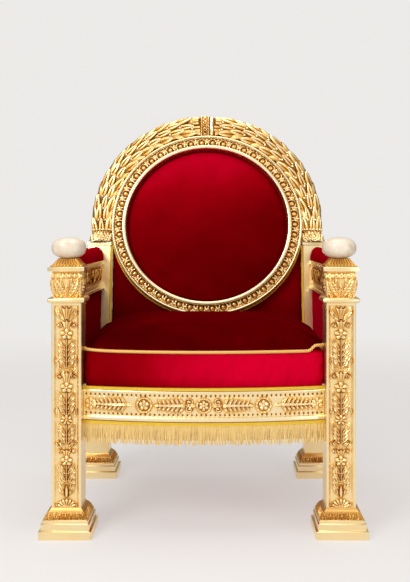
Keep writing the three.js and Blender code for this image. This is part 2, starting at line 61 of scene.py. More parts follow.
FRONT_Y = middle("front_post_left").y          # the front posts' centre line
POST_X = middle("front_post_right").x
BACK_Y = middle("seat_rail_back").y
POST_HALF = 39.5
BACK_FACE_Y = FRONT_Y + 565 - POST_HALF        # front face of the back posts
RAIL_BOTTOM, RAIL_TOP = 296, 388
RAIL_MIDDLE = (RAIL_BOTTOM + RAIL_TOP) / 2
FRIEZE_MIDDLE = 348.5
BOW_ENDS, BOW_DEPTH, BOW_REACH = -9.5, 40, 326.2    # from FRONT_Y, of the bow, and half its chord
BOW_HALF = 325.9                                    # half the front rail's length
RAKE = math.radians(10)
FLATTEN = 0.958
RING_HEIGHT, RING_INNER, RING_OUTER = 453, 274, 323
ARCH_HEIGHT, ARCH_RADIUS, ARCH_HALF, ARCH_FOOT, ARCH_COLLAR = 461, 357, 31, 396, 431
ARCH_REAR = 44
STRAP_FROM, STRAP_TO = -25, 23                 # sideways, on the crown of the arch
ARM_X, ARM_TOP = 374, 715
SEAT_HALF, SEAT_REAR_HALF, SEAT_SEAM, SEAT_BACK = 322, 349, 490.5, 194
SEAT_SHOULDER = 0.113                          # share of the depth where the seat widens
SEAT_CENTRE = np.array([0, -70.0])

RNG = np.random.default_rng(7)


def grid(x, y, z):
    """Points from coordinates that fill each other out to one shape."""
    return np.stack(np.broadcast_arrays(x, y, z), -1)


def dome(x):
    """Falls from 1 at 0 to 0 at 1 along a quarter circle, for x already squared."""
    return np.sqrt(np.clip(1 - x, 0, 1))


def peak(x):
    """A smooth peak of 1 at 0, about 1 wide each way."""
    return np.exp(-(x ** 2))


def around(count):
    """Even angles round a full turn, as a row."""
    return np.linspace(0, 2 * PI, count, endpoint=False)[None, :]


def raked(points):
    """Points drawn in the upright frame of the leaning back, moved to the throne."""
    x, y, z = np.moveaxis(np.asarray(points, float), -1, 0)
    c, s = math.cos(RAKE), math.sin(RAKE)
    return grid(x, BACK_FACE_Y + c * y + s * z, RAIL_TOP - s * y + c * z)


def bow(x, setback):
    """y of the bowed seat front at each x, set back from its furthest line."""
    return FRONT_Y + BOW_ENDS - BOW_DEPTH * (1 - (x / BOW_REACH) ** 2) + setback


def stile_front(z):
    """y of the leaning stiles' front face at each height."""
    return BACK_FACE_Y + (z - RAIL_TOP) * math.tan(RAKE)


# ---------- Meshes from grids ----------


def blurred(values, reach):
    """Mean over a square of grid cells."""
    for axis in (0, 1):
        span = min(reach, (values.shape[axis] - 1) // 2)
        if span < 1:
            continue
        pad = [(0, 0), (0, 0)]
        pad[axis] = (span + 1, span)
        total = np.cumsum(np.pad(values, pad, mode="edge"), axis)
        width = 2 * span + 1
        upper = np.take(total, range(width, total.shape[axis]), axis)
        lower = np.take(total, range(0, total.shape[axis] - width), axis)
        values = (upper - lower) / width
    return values


def cavity(heights, depth=2.6, reach=2):
    """How far each point lies in a recess of the carving, from 0 to 1."""
    near = (blurred(heights, reach) - heights) / depth
    wide = (blurred(heights, 3 * reach) - heights) / (2.4 * depth)
    return np.clip(0.08 + np.clip(near, 0, 1) + np.clip(wide, 0, 0.6), 0, 1)


class Shape:
    """Collects sheets of quads, in millimetres, and builds one object from them."""

    def __init__(self):
        self.points, self.faces, self.hollows, self.count = [], [], [], 0

    def sheet(self, points, out, wrap=(False, False), caps=False, hollow=0.1):
        """Adds a grid (rows, columns, 3). out points away from the solid, as one direction or one
        for each point. wrap closes its rows or columns on themselves, caps fills its first and
        last row, and the last argument sets each point's painted shade, how dark it is painted."""
        points = np.asarray(points, float)
        along = self.slope(points, 0, wrap[0])
        across = self.slope(points, 1, wrap[1])
        flip = np.sum(np.cross(across, along) * np.broadcast_to(out, points.shape)) < 0
        rows, columns = points.shape[:2]
        index = np.arange(rows * columns).reshape(rows, columns) + self.count
        ends = [index[0].tolist(), index[-1][::-1].tolist()]
        if wrap[0]:
            index = np.vstack([index, index[:1]])
        if wrap[1]:
            index = np.hstack([index, index[:, :1]])
        corners = [index[:-1, :-1], index[:-1, 1:], index[1:, 1:], index[1:, :-1]]
        if flip:
            corners.reverse()
        self.faces += np.stack(corners, -1).reshape(-1, 4).tolist()
        if caps:
            self.faces += [end[::-1] if not flip else end for end in ends]
        self.points.append(points.reshape(-1, 3))
        self.hollows.append(np.broadcast_to(hollow, (rows, columns)).ravel())
        self.count += rows * columns

    @staticmethod
    def slope(points, axis, wrapped):
        if wrapped:
            return np.roll(points, -1, axis) - np.roll(points, 1, axis)
        return np.gradient(points, axis=axis)

    def build(self, name, slot, replaces=(), sharp=38, place=None, look=None):
        points = np.concatenate(self.points)
        if place is not None:
            points = place(points)
        mesh = bpy.data.meshes.new(name)
        mesh.from_pydata((points * MM).tolist(), [], self.faces)
        # Each point's painted shade is stored as an attribute for the gold and thread materials.
        hollow = mesh.attributes.new("hollow", "FLOAT", "POINT")
        hollow.data.foreach_set("value", np.concatenate(self.hollows).astype(np.float32))
        mesh.shade_smooth()
        mesh.set_sharp_from_angle(angle=math.radians(sharp))
        return add_piece(name, mesh, replaces, look or slot)


def add_object(name, data):
    added = bpy.data.objects.new(name, data)
    bpy.context.collection.objects.link(added)
    return added


def single(points, out, name, slot, replaces=(), wrap=(False, False), caps=False, hollow=0.1, **build):
    """A piece made of one sheet."""
    shape = Shape()
    shape.sheet(points, out, wrap=wrap, caps=caps, hollow=hollow)
    return shape.build(name, slot, replaces, **build)


def add_piece(name, mesh, replaces, look):
    piece = add_object(name, mesh)
    mesh.materials.clear()
    mesh.materials.append(LOOKS[look])
    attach(piece, "root")
    if replaces:
        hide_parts(*replaces)
    return piece


# ---------- Carved motifs: heights over a flat field, each along +v from its own origin ----------


class Relief:
    """A field of heights in millimetres over surface coordinates x and y."""

    def __init__(self, x, y, fullness=1.0):
        self.x, self.y = np.broadcast_arrays(x, y)
        self.heights = np.zeros(self.x.shape)
        self.fullness = fullness

    def add(self, motif, x, y, turn, size, pair=False, **more):
        """Lays a motif, turned clockwise in degrees. size gives its first sizes in its own order,
        of which the first is its reach. pair lays its mirror image in x as well."""
        reach = 1.15 * size[0]
        if motif is blade:
            size = (size[0], size[1] * self.fullness, size[2])
        for way in (1, -1) if pair else (1,):
            dx, dy = self.x - way * x, self.y - y
            near = dx * dx + dy * dy < reach * reach
            if not near.any():
                continue
            angle = math.radians(way * turn)
            c, s = math.cos(angle), math.sin(angle)
            u = c * dx[near] - s * dy[near]
            v = s * dx[near] + c * dy[near]
            self.heights[near] = np.maximum(self.heights[near], motif(u, v, *size, **more))

    def mirrored(self, motif, x, y, turn, bend, size, **more):
        """Lays a bent motif and its true mirror image in x."""
        for way in (-1, 1):
            self.add(motif, way * x, y, way * turn, size, bend=way * bend, **more)

    def spray(self, x, way, length, height, across):
        """Foliage that runs sideways: a stem with leaves in pairs, and a bud at its end."""
        self.add(ridge, x, 0, 90 * way, (length, 2.4, 0.6 * height))
        steps = max(2, round(length / 12))
        for i in range(steps):
            at = x + way * length * i / steps
            size = across * (1.0 - 0.35 * i / steps)
            for turn, bend in ((44, -0.15), (136, 0.15)):
                self.add(blade, at, 0, way * turn, (size, 0.34 * size, height), cuts=2, bend=bend * way)
            self.add(blade, at, 0, way * 90, (0.8 * size, 0.3 * size, height))
        self.add(blade, x + way * (length - 6), 0, 90 * way, (16, 9, height))


def ridge(u, v, length, width, height):
    s = np.abs(u) / (width / 2)
    return np.where((s < 1) & (v > 0) & (v < length), height * dome(s * s), 0)


def blade(u, v, length, width, height, bend=0.0, cuts=0):
    """A pointed leaf with a midrib. cuts divides its edges into lobes."""
    t = np.clip(v / length, 0, 1)
    u = u - bend * length * t * t
    half = 0.5 * width * np.sin(PI * t ** 0.75) ** 0.7
    veins = 1.0
    if cuts:
        half = half * (1 - 0.24 * np.abs(np.cos(PI * cuts * t)))
    s = np.abs(u) / np.maximum(half, 0.02)
    if cuts:
        veins = 0.74 + 0.26 * np.cos(2 * PI * (cuts * t - 1.1 * s))
    rib = 1 - 0.42 * peak(u / (0.09 * width))
    form = dome(s ** 3) * rib * veins * (0.6 + 0.4 * np.sin(PI * t))
    return np.where((v > 0) & (v < length) & (s < 1), height * form, 0)


def rosette(u, v, radius, height, petals=6):
    r, a = np.hypot(u, v), np.arctan2(u, v)
    lobe = np.abs(np.cos(petals * a / 2))
    s = r / (radius * (0.7 + 0.3 * lobe))
    petal = dome(s ** 4) * (0.35 + 0.65 * lobe) * (0.55 + 0.45 * s)
    return height * np.maximum(petal, 1.2 * dome((r / (0.26 * radius)) ** 2))


def shell(u, v, length, height, ribs=7, spread=1.25):
    r, a = np.hypot(u, v), np.arctan2(u, v)
    rib = np.abs(np.cos(0.5 * PI * ribs * a / spread))
    s = r / (length * (0.82 + 0.18 * rib) * (1 - 0.2 * np.clip(a / spread, -1, 1) ** 2))
    inside = (np.abs(a) < spread) & (s < 1)
    return np.where(inside, height * (0.3 + 0.7 * rib) * np.sqrt(s) * (1 - s ** 8), 0)


def bell(u, v, length, width, height):
    """A tulip whose three petals open along +v."""
    t = np.clip(v / length, 0, 1)
    s = np.abs(u) / (0.5 * width * (0.32 + 0.68 * t ** 1.7))
    lip = 1 - 0.22 * np.abs(np.sin(1.5 * PI * s))
    flute = 0.7 + 0.3 * np.cos(3 * PI * s)
    return np.where((s < 1) & (v > 0) & (t < lip), height * dome(s ** 4) * flute * (0.55 + 0.45 * t), 0)


def drop(u, v, length, width, height):
    """A bead shaped like a falling drop, inside a fine raised line."""
    t = np.clip(v / length, 0, 1)
    s = np.abs(u) / np.maximum(0.5 * width * np.sin(PI * t ** 0.7), 0.02)
    bead = dome((s / 0.45) ** 2) * (t < 0.8) * (t > 0.08)
    line = 0.8 * peak((s - 0.86) / 0.12)
    return np.where((v > 0) & (v < length), height * np.maximum(bead, line), 0)


def hoop(u, v, radius, height, width):
    """A wreath of small leaves bound into a ring."""
    r, a = np.hypot(u, v), np.arctan2(u, v)
    s = (r - radius + width / 2) / (width / 2)
    return height * dome(s * s) * (0.2 + 0.8 * np.abs(np.sin(6 * a + 0.8 * s)) ** 0.8)


def coil(u, v, radius, height, turns=1.6, hand=1):
    """A scroll about a round eye."""
    r, a = np.hypot(u, v), np.arctan2(hand * u, v) % (2 * PI)
    offset = (r * turns / radius - a / (2 * PI)) % 1 - 0.5
    line = dome((offset / 0.34) ** 2)
    return np.where(r < radius, height * np.maximum(line, 1.1 * dome((r / (0.24 * radius)) ** 2)), 0)


def leaf_row(s, t, count, height):
    """A row of upright leaves with darts between, t from foot to tip, count across s -1 to 1."""
    p = np.abs((s * count / 2 + 0.5 * (count % 2 == 0)) % 1 - 0.5)
    q = p / np.maximum(0.47 * dome(t ** 2.2), 0.02)
    body = dome(q ** 2.5) * (1 - 0.4 * peak(p / 0.06))
    dart = 0.75 * np.clip(1 - (0.5 - p) / (0.05 + 0.16 * t), 0, 1) * (t > 0.25)
    return height * np.maximum(body, dart)


def bead_row(x, y, pitch, size, height):
    p = (x / pitch) % 1 - 0.5
    return height * dome((p * pitch / size) ** 2 + (y / size) ** 2)


# ---------- Materials ----------


def new_material(name):
    material = bpy.data.materials.new(name)
    material.use_nodes = True
    tree = material.node_tree
    return material, tree, tree.nodes["Principled BSDF"]


def join(tree, value, socket):
    """Sets a socket to a value, or links it to another node's output."""
    if isinstance(value, bpy.types.NodeSocket):
        tree.links.new(value, socket)
    else:
        socket.default_value = value


def fill(tree, node, **inputs):
    """Sets or links a node's inputs by name, with _ for each space."""
    for key, value in inputs.items():
        join(tree, value, node.inputs[key.replace("_", " ")])
    return node


def add_node(tree, kind, settings=None, **inputs):
    node = tree.nodes.new(kind)
    for key, value in (settings or {}).items():
        setattr(node, key, value)
    return fill(tree, node, **inputs)


def attribute(tree, name):
    return add_node(tree, "ShaderNodeAttribute", {"attribute_name": name}).outputs["Fac"]


def noise(tree, scale, detail=3.0, rough=0.55):
    place = add_node(tree, "ShaderNodeTexCoord").outputs["Object"]
    return add_node(tree, "ShaderNodeTexNoise", None, Vector=place, Scale=scale, Detail=detail,
                    Roughness=rough).outputs["Fac"]


def arithmetic(tree, kind, a, b, clamp=False):
    node = add_node(tree, "ShaderNodeMath", {"operation": kind, "use_clamp": clamp})
    join(tree, a, node.inputs[0])
    join(tree, b, node.inputs[1])
    return node.outputs[0]


def ramp(tree, factor, stops):
    node = add_node(tree, "ShaderNodeValToRGB", None, Fac=factor)
    elements = node.color_ramp.elements
    while len(elements) < len(stops):
        elements.new(0.5)
    for element, (position, colour) in zip(elements, stops):
        element.position, element.color = position, (*colour, 1)
    return node.outputs["Color"]


def spread(tree, factor, low, high):
    return add_node(tree, "ShaderNodeMapRange", None, Value=factor, To_Min=low, To_Max=high).outputs[0]


def centred(tree, factor, reach):
    """A noise as a change of up to half of reach, either way."""
    return arithmetic(tree, "MULTIPLY", arithmetic(tree, "SUBTRACT", factor, 0.5), reach)


def bumped(tree, height, distance, strength):
    """Normals for a fine grain, from a height and its depth in metres."""
    node = add_node(tree, "ShaderNodeBump", None, Height=height, Distance=distance, Strength=strength)
    return node.outputs[0]


def gold_leaf():
    """Burnished water gilding, with painted shade: darker brown-gold and duller in the recesses of the
    carving, bright on the crests.
    """
    material, tree, shader = new_material("gold_leaf")
    hollow = attribute(tree, "hollow")
    # Painted shade: the colour darkens with the shade attribute, dark in recesses and undercuts, plus random
    # tone from a noise.
    painted_shade_and_tone = arithmetic(tree, "ADD", hollow, centred(tree, noise(tree, 16.0, 4.0), 0.3), True)
    colour = ramp(tree, painted_shade_and_tone, [(0.0, (1.0, 0.84, 0.53)), (0.2, (1.0, 0.745, 0.34)),
                               (0.5, (0.74, 0.385, 0.085)), (1.0, (0.20, 0.065, 0.008))])
    dull = arithmetic(tree, "MULTIPLY", hollow, 0.25)
    beaten = arithmetic(tree, "MULTIPLY", noise(tree, 70.0, 3.0), 1.6)
    grain = arithmetic(tree, "ADD", noise(tree, 420.0, 2.0), beaten)
    fill(tree, shader, Base_Color=colour, Metallic=1.0,
         Roughness=arithmetic(tree, "ADD", spread(tree, noise(tree, 60.0), 0.20, 0.38), dull),
         Normal=bumped(tree, grain, 0.0005, 0.3))
    return material


def velvet():
    """Deep red silk velvet. Where its shade attribute is high, the velvet is painted darker: painted shade.
    """
    material, tree, shader = new_material("velvet")
    fibre = noise(tree, 900.0, 2.0)
    brushed = arithmetic(tree, "ADD", centred(tree, noise(tree, 7.0, 3.0, 0.5), 0.30),
                         centred(tree, fibre, 0.2))
    # The colour follows each piece's painted shade, plus random brushed patches and fibre tone.
    colour = ramp(tree, arithmetic(tree, "ADD", attribute(tree, "painted_velvet_shade"), brushed, True), [
        (0.0, (0.62, 0.0004, 0.024)), (0.35, (0.31, 0.0002, 0.0045)), (0.7, (0.14, 0.0001, 0.0009)),
        (1.0, (0.045, 0.0001, 0.0003))])
    fill(tree, shader, Base_Color=colour, Roughness=0.85, Specular_IOR_Level=0.0, Sheen_Weight=0.14,
         Sheen_Roughness=0.35, Sheen_Tint=(1.0, 0.0, 0.02, 1), Normal=bumped(tree, fibre, 0.0004, 0.2))
    return material


def thread(name, light, middle_tone, dark):
    """Gold silk thread: half matt, with painted shade between the strands."""
    material, tree, shader = new_material(name)
    strand = noise(tree, 260.0, 2.0)
    # Painted shade from the shade attribute between the strands, plus random tone from a noise.
    painted_shade_and_tone = arithmetic(tree, "ADD", attribute(tree, "hollow"), centred(tree, strand, 0.4), True)
    fill(tree, shader, Base_Color=ramp(tree, painted_shade_and_tone, [(0.0, light), (0.4, middle_tone), (1.0, dark)]),
         Metallic=0.2, Roughness=0.5, Sheen_Weight=0.05, Normal=bumped(tree, strand, 0.0006, 0.4))
    return material


def ivory():
    """Polished cream stone, faintly mottled."""
    material, tree, shader = new_material("ivory")
    mottle = noise(tree, 42.0, 6.0, 0.65)
    colour = ramp(tree, mottle, [(0.3, (0.70, 0.57, 0.43)), (0.5, (0.82, 0.70, 0.55)),
                                 (0.7, (0.88, 0.79, 0.65))])
    fill(tree, shader, Base_Color=colour, Roughness=spread(tree, mottle, 0.32, 0.2),
         Subsurface_Weight=0.08, Subsurface_Radius=(0.004, 0.003, 0.002))
    return material


GIMP_SILK = thread("gimp_silk", (0.90, 0.60, 0.03), (0.70, 0.41, 0.01), (0.26, 0.12, 0.002))
BULLION = thread("bullion", (1.0, 0.81, 0.40), (0.85, 0.58, 0.19), (0.38, 0.19, 0.04))
PIPING_SILK = thread("piping_silk", (1.0, 0.68, 0.24), (0.86, 0.46, 0.10), (0.34, 0.14, 0.02))
LOOKS = {"gilding": gold_leaf(), "velvet": velvet(), "braid": GIMP_SILK, "bullion": BULLION,
         "piping": PIPING_SILK, "ivory": ivory()}

# ---------- Camera, floor and light ----------

IMAGE_W, IMAGE_H = 410, 582
FOCAL_PX = 860
CAMERA_DISTANCE = 2330                         # from the front posts' centre line
EYE_HEIGHT = 811
CAMERA_X = 39
CENTRE_COLUMN, HORIZON_ROW = 218.4, 232        # where the camera's axis meets the frame


def add_camera():
    data = bpy.data.cameras.new("camera")
    camera = add_object("camera", data)
    data.sensor_width = 36
    data.lens = FOCAL_PX / IMAGE_H * data.sensor_width
    data.shift_x = (IMAGE_W / 2 - CENTRE_COLUMN) / IMAGE_H
    data.shift_y = (HORIZON_ROW - IMAGE_H / 2) / IMAGE_H
    data.clip_end = 50
    camera.location = Vector((CAMERA_X, FRONT_Y - CAMERA_DISTANCE, EYE_HEIGHT)) * MM
    camera.rotation_euler = (PI / 2, 0, 0)
    bpy.context.scene.camera = camera


def add_light(name, place, aim, size, power):
    data = bpy.data.lights.new(name, "AREA")
    data.shape = "RECTANGLE"
    data.size, data.size_y = size
    data.energy = power
    light = add_object(name, data)
    light.location = place
    light.rotation_euler = (Vector(aim) - Vector(place)).to_track_quat("-Z", "Y").to_euler()


def add_world():
    """Soft daylight: strongest from the front and above, and weaker from the sides. The paper
    behind the throne is as pale as the floor."""
    world = bpy.data.worlds.new("studio")
    bpy.context.scene.world = world
    world.use_nodes = True
    tree = world.node_tree
    towards = add_node(tree, "ShaderNodeTexCoord").outputs["Generated"]
    axes = add_node(tree, "ShaderNodeSeparateXYZ", None, Vector=towards).outputs
    behind = add_node(tree, "ShaderNodeMapRange", None, Value=axes["Y"], From_Min=-1.0, From_Max=1.0)
    front = spread(tree, behind.outputs[0], 0.92, 0.34)
    sideways = arithmetic(tree, "POWER", arithmetic(tree, "ABSOLUTE", axes["X"], 0), 1.5)
    strength = arithmetic(tree, "SUBTRACT", front, arithmetic(tree, "MULTIPLY", sideways, 0.42))
    light = add_node(tree, "ShaderNodeBackground", None, Color=(1.0, 0.975, 0.95, 1), Strength=strength)
    paper = fill(tree, tree.nodes["Background"], Color=(0.845, 0.825, 0.81, 1))
    camera_ray = add_node(tree, "ShaderNodeLightPath").outputs["Is Camera Ray"]
    mix = add_node(tree, "ShaderNodeMixShader", None, Fac=camera_ray)
    join(tree, light.outputs[0], mix.inputs[1])
    join(tree, paper.outputs[0], mix.inputs[2])
    fill(tree, tree.nodes["World Output"], Surface=mix.outputs[0])


def add_floor():
    """Pale paper that fades out far from the throne."""
    mesh = bpy.data.meshes.new("floor")
    reach = 6
    corners = [(-reach, -reach, 0), (reach, -reach, 0), (reach, reach, 0), (-reach, reach, 0)]
    mesh.from_pydata(corners, [], [(0, 1, 2, 3)])
    floor = add_object("floor", mesh)
    material, tree, shader = new_material("floor_paper")
    place = add_node(tree, "ShaderNodeTexCoord").outputs["Object"]
    away = add_node(tree, "ShaderNodeVectorMath", {"operation": "LENGTH"}, Vector=place).outputs["Value"]
    fade = add_node(tree, "ShaderNodeMapRange", {"interpolation_type": "SMOOTHSTEP"}, Value=away,
                    From_Min=1.0, From_Max=4.5, To_Min=1.0, To_Max=0.0).outputs[0]
    fill(tree, shader, Base_Color=(0.40, 0.39, 0.385, 1), Emission_Color=(1.0, 0.975, 0.955, 1),
         Emission_Strength=0.46, Roughness=0.9, Specular_IOR_Level=0.05, Alpha=fade)
    mesh.materials.append(material)


def add_studio():
    add_world()
    add_light("key", (-1.7, -2.6, 2.4), (0, 0, 0.6), (1.3, 1.3), 48)
    add_light("fill", (2.4, -2.6, 1.1), (0, 0, 0.6), (1.0, 1.6), 15)
    add_light("overhead", (0, -0.2, 3.4), (0, 0, 0), (2.6, 2.6), 39)
    add_floor()
    bpy.context.scene.view_settings.view_transform = "Standard"


add_camera()
add_studio()

# ---------- Square posts ----------

SIDES = {"front": 0, "right": 1, "rear": 2, "left": 3}    # quarter turns from the front


def split(section):
    """A section's two coordinates, as columns."""
    section = np.array(section, float)
    return section[:, :1], section[:, 1:]


def eased(levels, radius):
    """Softens the corners of a profile: each inner point becomes two."""
    levels = [np.array(level, float) for level in levels]
    points = [levels[0]]
    for before, at, after in zip(levels, levels[1:], levels[2:]):
        for other in (before, after):
            gap = np.linalg.norm(other - at)
            points.append(at + (other - at) * min(radius / gap, 0.4))
    return np.array(points + [levels[-1]])


def dense(levels, step):
    """A profile's points, no further apart than step."""
    levels = np.array(levels, float)
    points = []
    for a, b in zip(levels, levels[1:]):
        count = max(1, math.ceil(np.linalg.norm(b - a) / step))
        points += [a + (b - a) * i / count for i in range(count)]
    return np.array(points + [levels[-1]])


def columns(count, half, edge=1.6):
    """Places across a face from -1 to 1, with one close to each corner."""
    inner = np.linspace(-1 + edge / half, 1 - edge / half, max(2, count))
    return np.concatenate([[-1], inner, [1]])


def post_face(shape, centre, side, levels, across, carve=None, edge=0.7, shade=0.0, ground=None):
    """One face of a square post. levels are (height, half width) from the bottom up. carve gives
    heights from x across and the height z, and ground the plain form under the carving."""
    z, half = split(levels)
    s = np.asarray(across)[None, :]
    heights, hollow = np.zeros((len(levels), len(across))), 0.1
    if carve:
        x, height, share = np.broadcast_arrays(s * half, z, s)
        heights = carve(x, height, share)
        plain = ground(x, height) if ground else 0 * heights
        # Painted shade: darker in the carving's recesses and on the sunk ground, plus the shade argument.
        hollow = np.clip(0.92 * cavity(heights - plain) + 0.05 * (plain < 0) + shade, 0, 1)
    heights[:, [0, -1]] -= edge
    dz, dh = np.gradient(z[:, 0]), np.gradient(half[:, 0])
    length = np.maximum(np.hypot(dz, dh), 1e-6)
    reach = half + (dz / length)[:, None] * heights
    rise = z - (dh / length)[:, None] * heights
    angle = side * PI / 2
    right, out = (math.cos(angle), math.sin(angle)), (math.sin(angle), -math.cos(angle))
    x = centre[0] + out[0] * reach + right[0] * s * reach
    y = centre[1] + out[1] * reach + right[1] * s * reach
    shape.sheet(grid(x, y, rise), (*out, 0), hollow=hollow)


def climbing_leaves(field, bottom, top, count, length=40, turn=36, apart=2):
    """Pairs of slender leaves that climb a stem between two heights, their tips at the top."""
    rise = length * math.cos(math.radians(turn))
    for at in np.linspace(bottom, top - rise, count):
        field.mirrored(blade, apart, at, turn, -0.16, (length, 10.5, 5.2), cuts=2)
    if apart < 3:
        field.add(ridge, 0, bottom, 0, (top - bottom, 3.0, 5.0))


def candelabrum(x, z):
    """The climbing ornament of flowers, leaves and cups in a post's sunk front panel."""
    field = Relief(0.79 * x, z, fullness=1.1)
    field.add(shell, 0, 76, 0, (25, 6.8), ribs=7, spread=1.4)
    field.add(drop, 0, 102, 0, (40, 17, 5.2))
    climbing_leaves(field, 110, 190, 4, apart=7, turn=27)
    climbing_leaves(field, 144, 192, 2, length=34)
    climbing_leaves(field, 246, 300, 3)
    climbing_leaves(field, 322, 384, 3)
    climbing_leaves(field, 448, 526, 4)
    for at, radius, height, petals in ((200, 14, 7.2, 5), (310, 14, 7.4, 7), (396, 15, 7.6, 5),
                                       (538, 15, 7.4, 5)):
        field.add(rosette, 0, at, 0, (radius, height), petals=petals)
    for at, length, width, height in ((208, 24, 28, 5.4), (408, 32, 36, 5.2), (549, 28, 34, 5.2),
                                      (578, 35, 34, 5.6)):
        field.add(bell, 0, at, 0, (length, width, height))
    for aside, at, radius, height, hand in ((18, 84, 6, 3.6, 1), (16, 226, 6, 3.8, -1), (17, 247, 7, 4.0, 1),
                                            (17, 426, 7, 4.2, 1), (17, 562, 7, 4.0, -1)):
        field.add(coil, aside, at, 0, (radius, height), hand=hand, pair=True)
    for aside, at, turn, length, width, height in (
            (5, 230, 22, 26, 9, 4.4), (19, 316, 6, 30, 9, 4.0), (6, 434, 40, 24, 9, 4.4),
            (20, 450, 4, 36, 8, 4.0), (7, 574, 30, 38, 9, 4.4), (19, 582, 6, 30, 9, 4.2)):
        field.add(blade, aside, at, turn, (length, width, height), cuts=1, pair=True)
    return field.heights


def sunk(x, z):
    """The posts' sunk panels, below zero inside them."""
    half, bottom, top, depth = 32, 78, 615, 5.0
    inside = (np.abs(x) < half) & (z > bottom) & (z < top)
    return np.where(inside, -depth, 0.0)


def carved_panel(x, z, s):
    ground = sunk(x, z)
    return np.where(ground < 0, ground + 1.15 * candelabrum(x, z), 0)


def plain_panel(x, z, s):
    return sunk(x, z)


FOOT_LEVELS = [(0, 69), (0.2, 69.5), (22, 69.5), (22, 64), (40, 64), (40, 60.5), (49, 60.5), (49, 58)]


def foot_leaves(x, z, s):
    """Leaf-and-dart on the slope above the plinths: raised outlines round sunk leaves."""
    t = 1 - (z - 50) / 15
    p = np.abs((s * 3.5) % 1 - 0.5)
    outline = peak((p - 0.46 * dome(np.clip(t, 0, 1) ** 2.2)) / 0.08)
    rim = outline + 0.6 * peak(p / 0.06) * (t < 0.75)
    return (3.4 * np.clip(rim, 0, 1) - 1.2) * (z > 50) * (z < 65)


def add_foot(shape, centre):
    plinth = eased(FOOT_LEVELS, 0.8)
    rows = [(49 + 17 * t, 57 - 8.5 * t ** 1.3) for t in np.linspace(0, 1, 18)]
    rows += [(66.2, 49.3), (67.6, 49.3), (67.9, 47.2)]
    rows += [(68 + 10 * t, 47 - 7.5 * math.sin(0.5 * PI * t)) for t in (0.2, 0.45, 0.7, 1)]
    for side in range(4):
        post_face(shape, centre, side, plinth, columns(3, 60))
        # The last argument, 0.34, is painted shade over the leaf row.
        post_face(shape, centre, side, rows, columns(80, 50, 0.8), foot_leaves, 0, 0.34)


def acanthus_wrap(x, z, s):
    """Capital: a centre leaf between two that curl to the corners, under a row of small tips."""
    field = Relief(x, z - 637, fullness=1.2)
    field.mirrored(blade, 4, 0, 33, -0.12, (60, 17, 4.4), cuts=7)
    field.mirrored(blade, 22, -2, 20, -0.1, (50, 14, 4.0), cuts=6)
    field.add(blade, 12, 26, 4, (27, 8, 3.6), cuts=3, pair=True)
    field.add(ridge, 33, -2, 4, (48, 5, 3.6), pair=True)
    field.add(blade, 0, -2, 0, (36, 13, 5.0), cuts=5)
    tips = leaf_row(s, np.clip((z - 688) / 13, 0, 1), 13, 2.4) * (z > 688) * (z < 702)
    return np.maximum(field.heights * (z < 689), tips)


def cap_leaves(x, z, s):
    tips = leaf_row(s, np.clip(1 - (z - 718) / 6, 0, 1), 9, 3.0) * (z < 724)
    flutes = 2.2 * np.abs(np.cos(4.5 * PI * s)) ** 0.6 * (z >= 724)
    return np.maximum(tips, flutes)


def front_post(x, name, node):
    """Foot, panelled shaft, collar, leaf capital, abacus and the pyramid that carries the ball."""
    centre = (x, FRONT_Y)
    outer = SIDES["left"] if x < 0 else SIDES["right"]
    shape = Shape()
    add_foot(shape, centre)
    shaft = [(78, POST_HALF), (622, POST_HALF)]
    outer_levels = [(z, POST_HALF) for z in (78, 78.6, 614.4, 615.2, 622)]
    outer_edges = np.array([-39.5, -38.3, -30.7, -29.9, 29.9, 30.7, 38.3, 39.5]) / POST_HALF
    collar = [(621, 39), (622, 45), (624, 48.5), (629.5, 49.5), (633, 48.5), (637, 44), (637, 33)]
    capital = [(637 + 69 * t, 32 + 5.5 * math.sin(PI * t) + 5 * t) for t in np.linspace(0, 1, 50)]
    abacus = [(706, 36), (706, 48.5), (718, 48.5), (718, 40)]
    cap = [(718 + 21 * t, 41.5 - 18 * t ** 0.8) for t in np.linspace(0, 1, 18)]
    for side in range(4):
        if side == SIDES["front"]:
            post_face(shape, centre, side, dense(shaft, 1.3), columns(60, POST_HALF, 1.2), carved_panel,
                      ground=sunk)
        elif side == outer:
            post_face(shape, centre, side, outer_levels, outer_edges, plain_panel, ground=sunk)
        else:
            post_face(shape, centre, side, shaft, columns(2, POST_HALF, 1.2))
        post_face(shape, centre, side, eased(collar, 0.6), columns(3, 45))
        # The last arguments, 0.12 and 0.42, are painted shade on the capital and, darker, on the cap.
        post_face(shape, centre, side, capital, columns(70, 38, 0.8), acanthus_wrap, 0, 0.12)
        post_face(shape, centre, side, eased(abacus, 1.2), columns(3, 45))
        post_face(shape, centre, side, cap, columns(54, 34, 0.6), cap_leaves, 0, 0.42)
        post_face(shape, centre, side, [(739, 24), (739.3, 0.5)], columns(2, 20), None, 0)
    return shape.build(name, "gilding", [node])


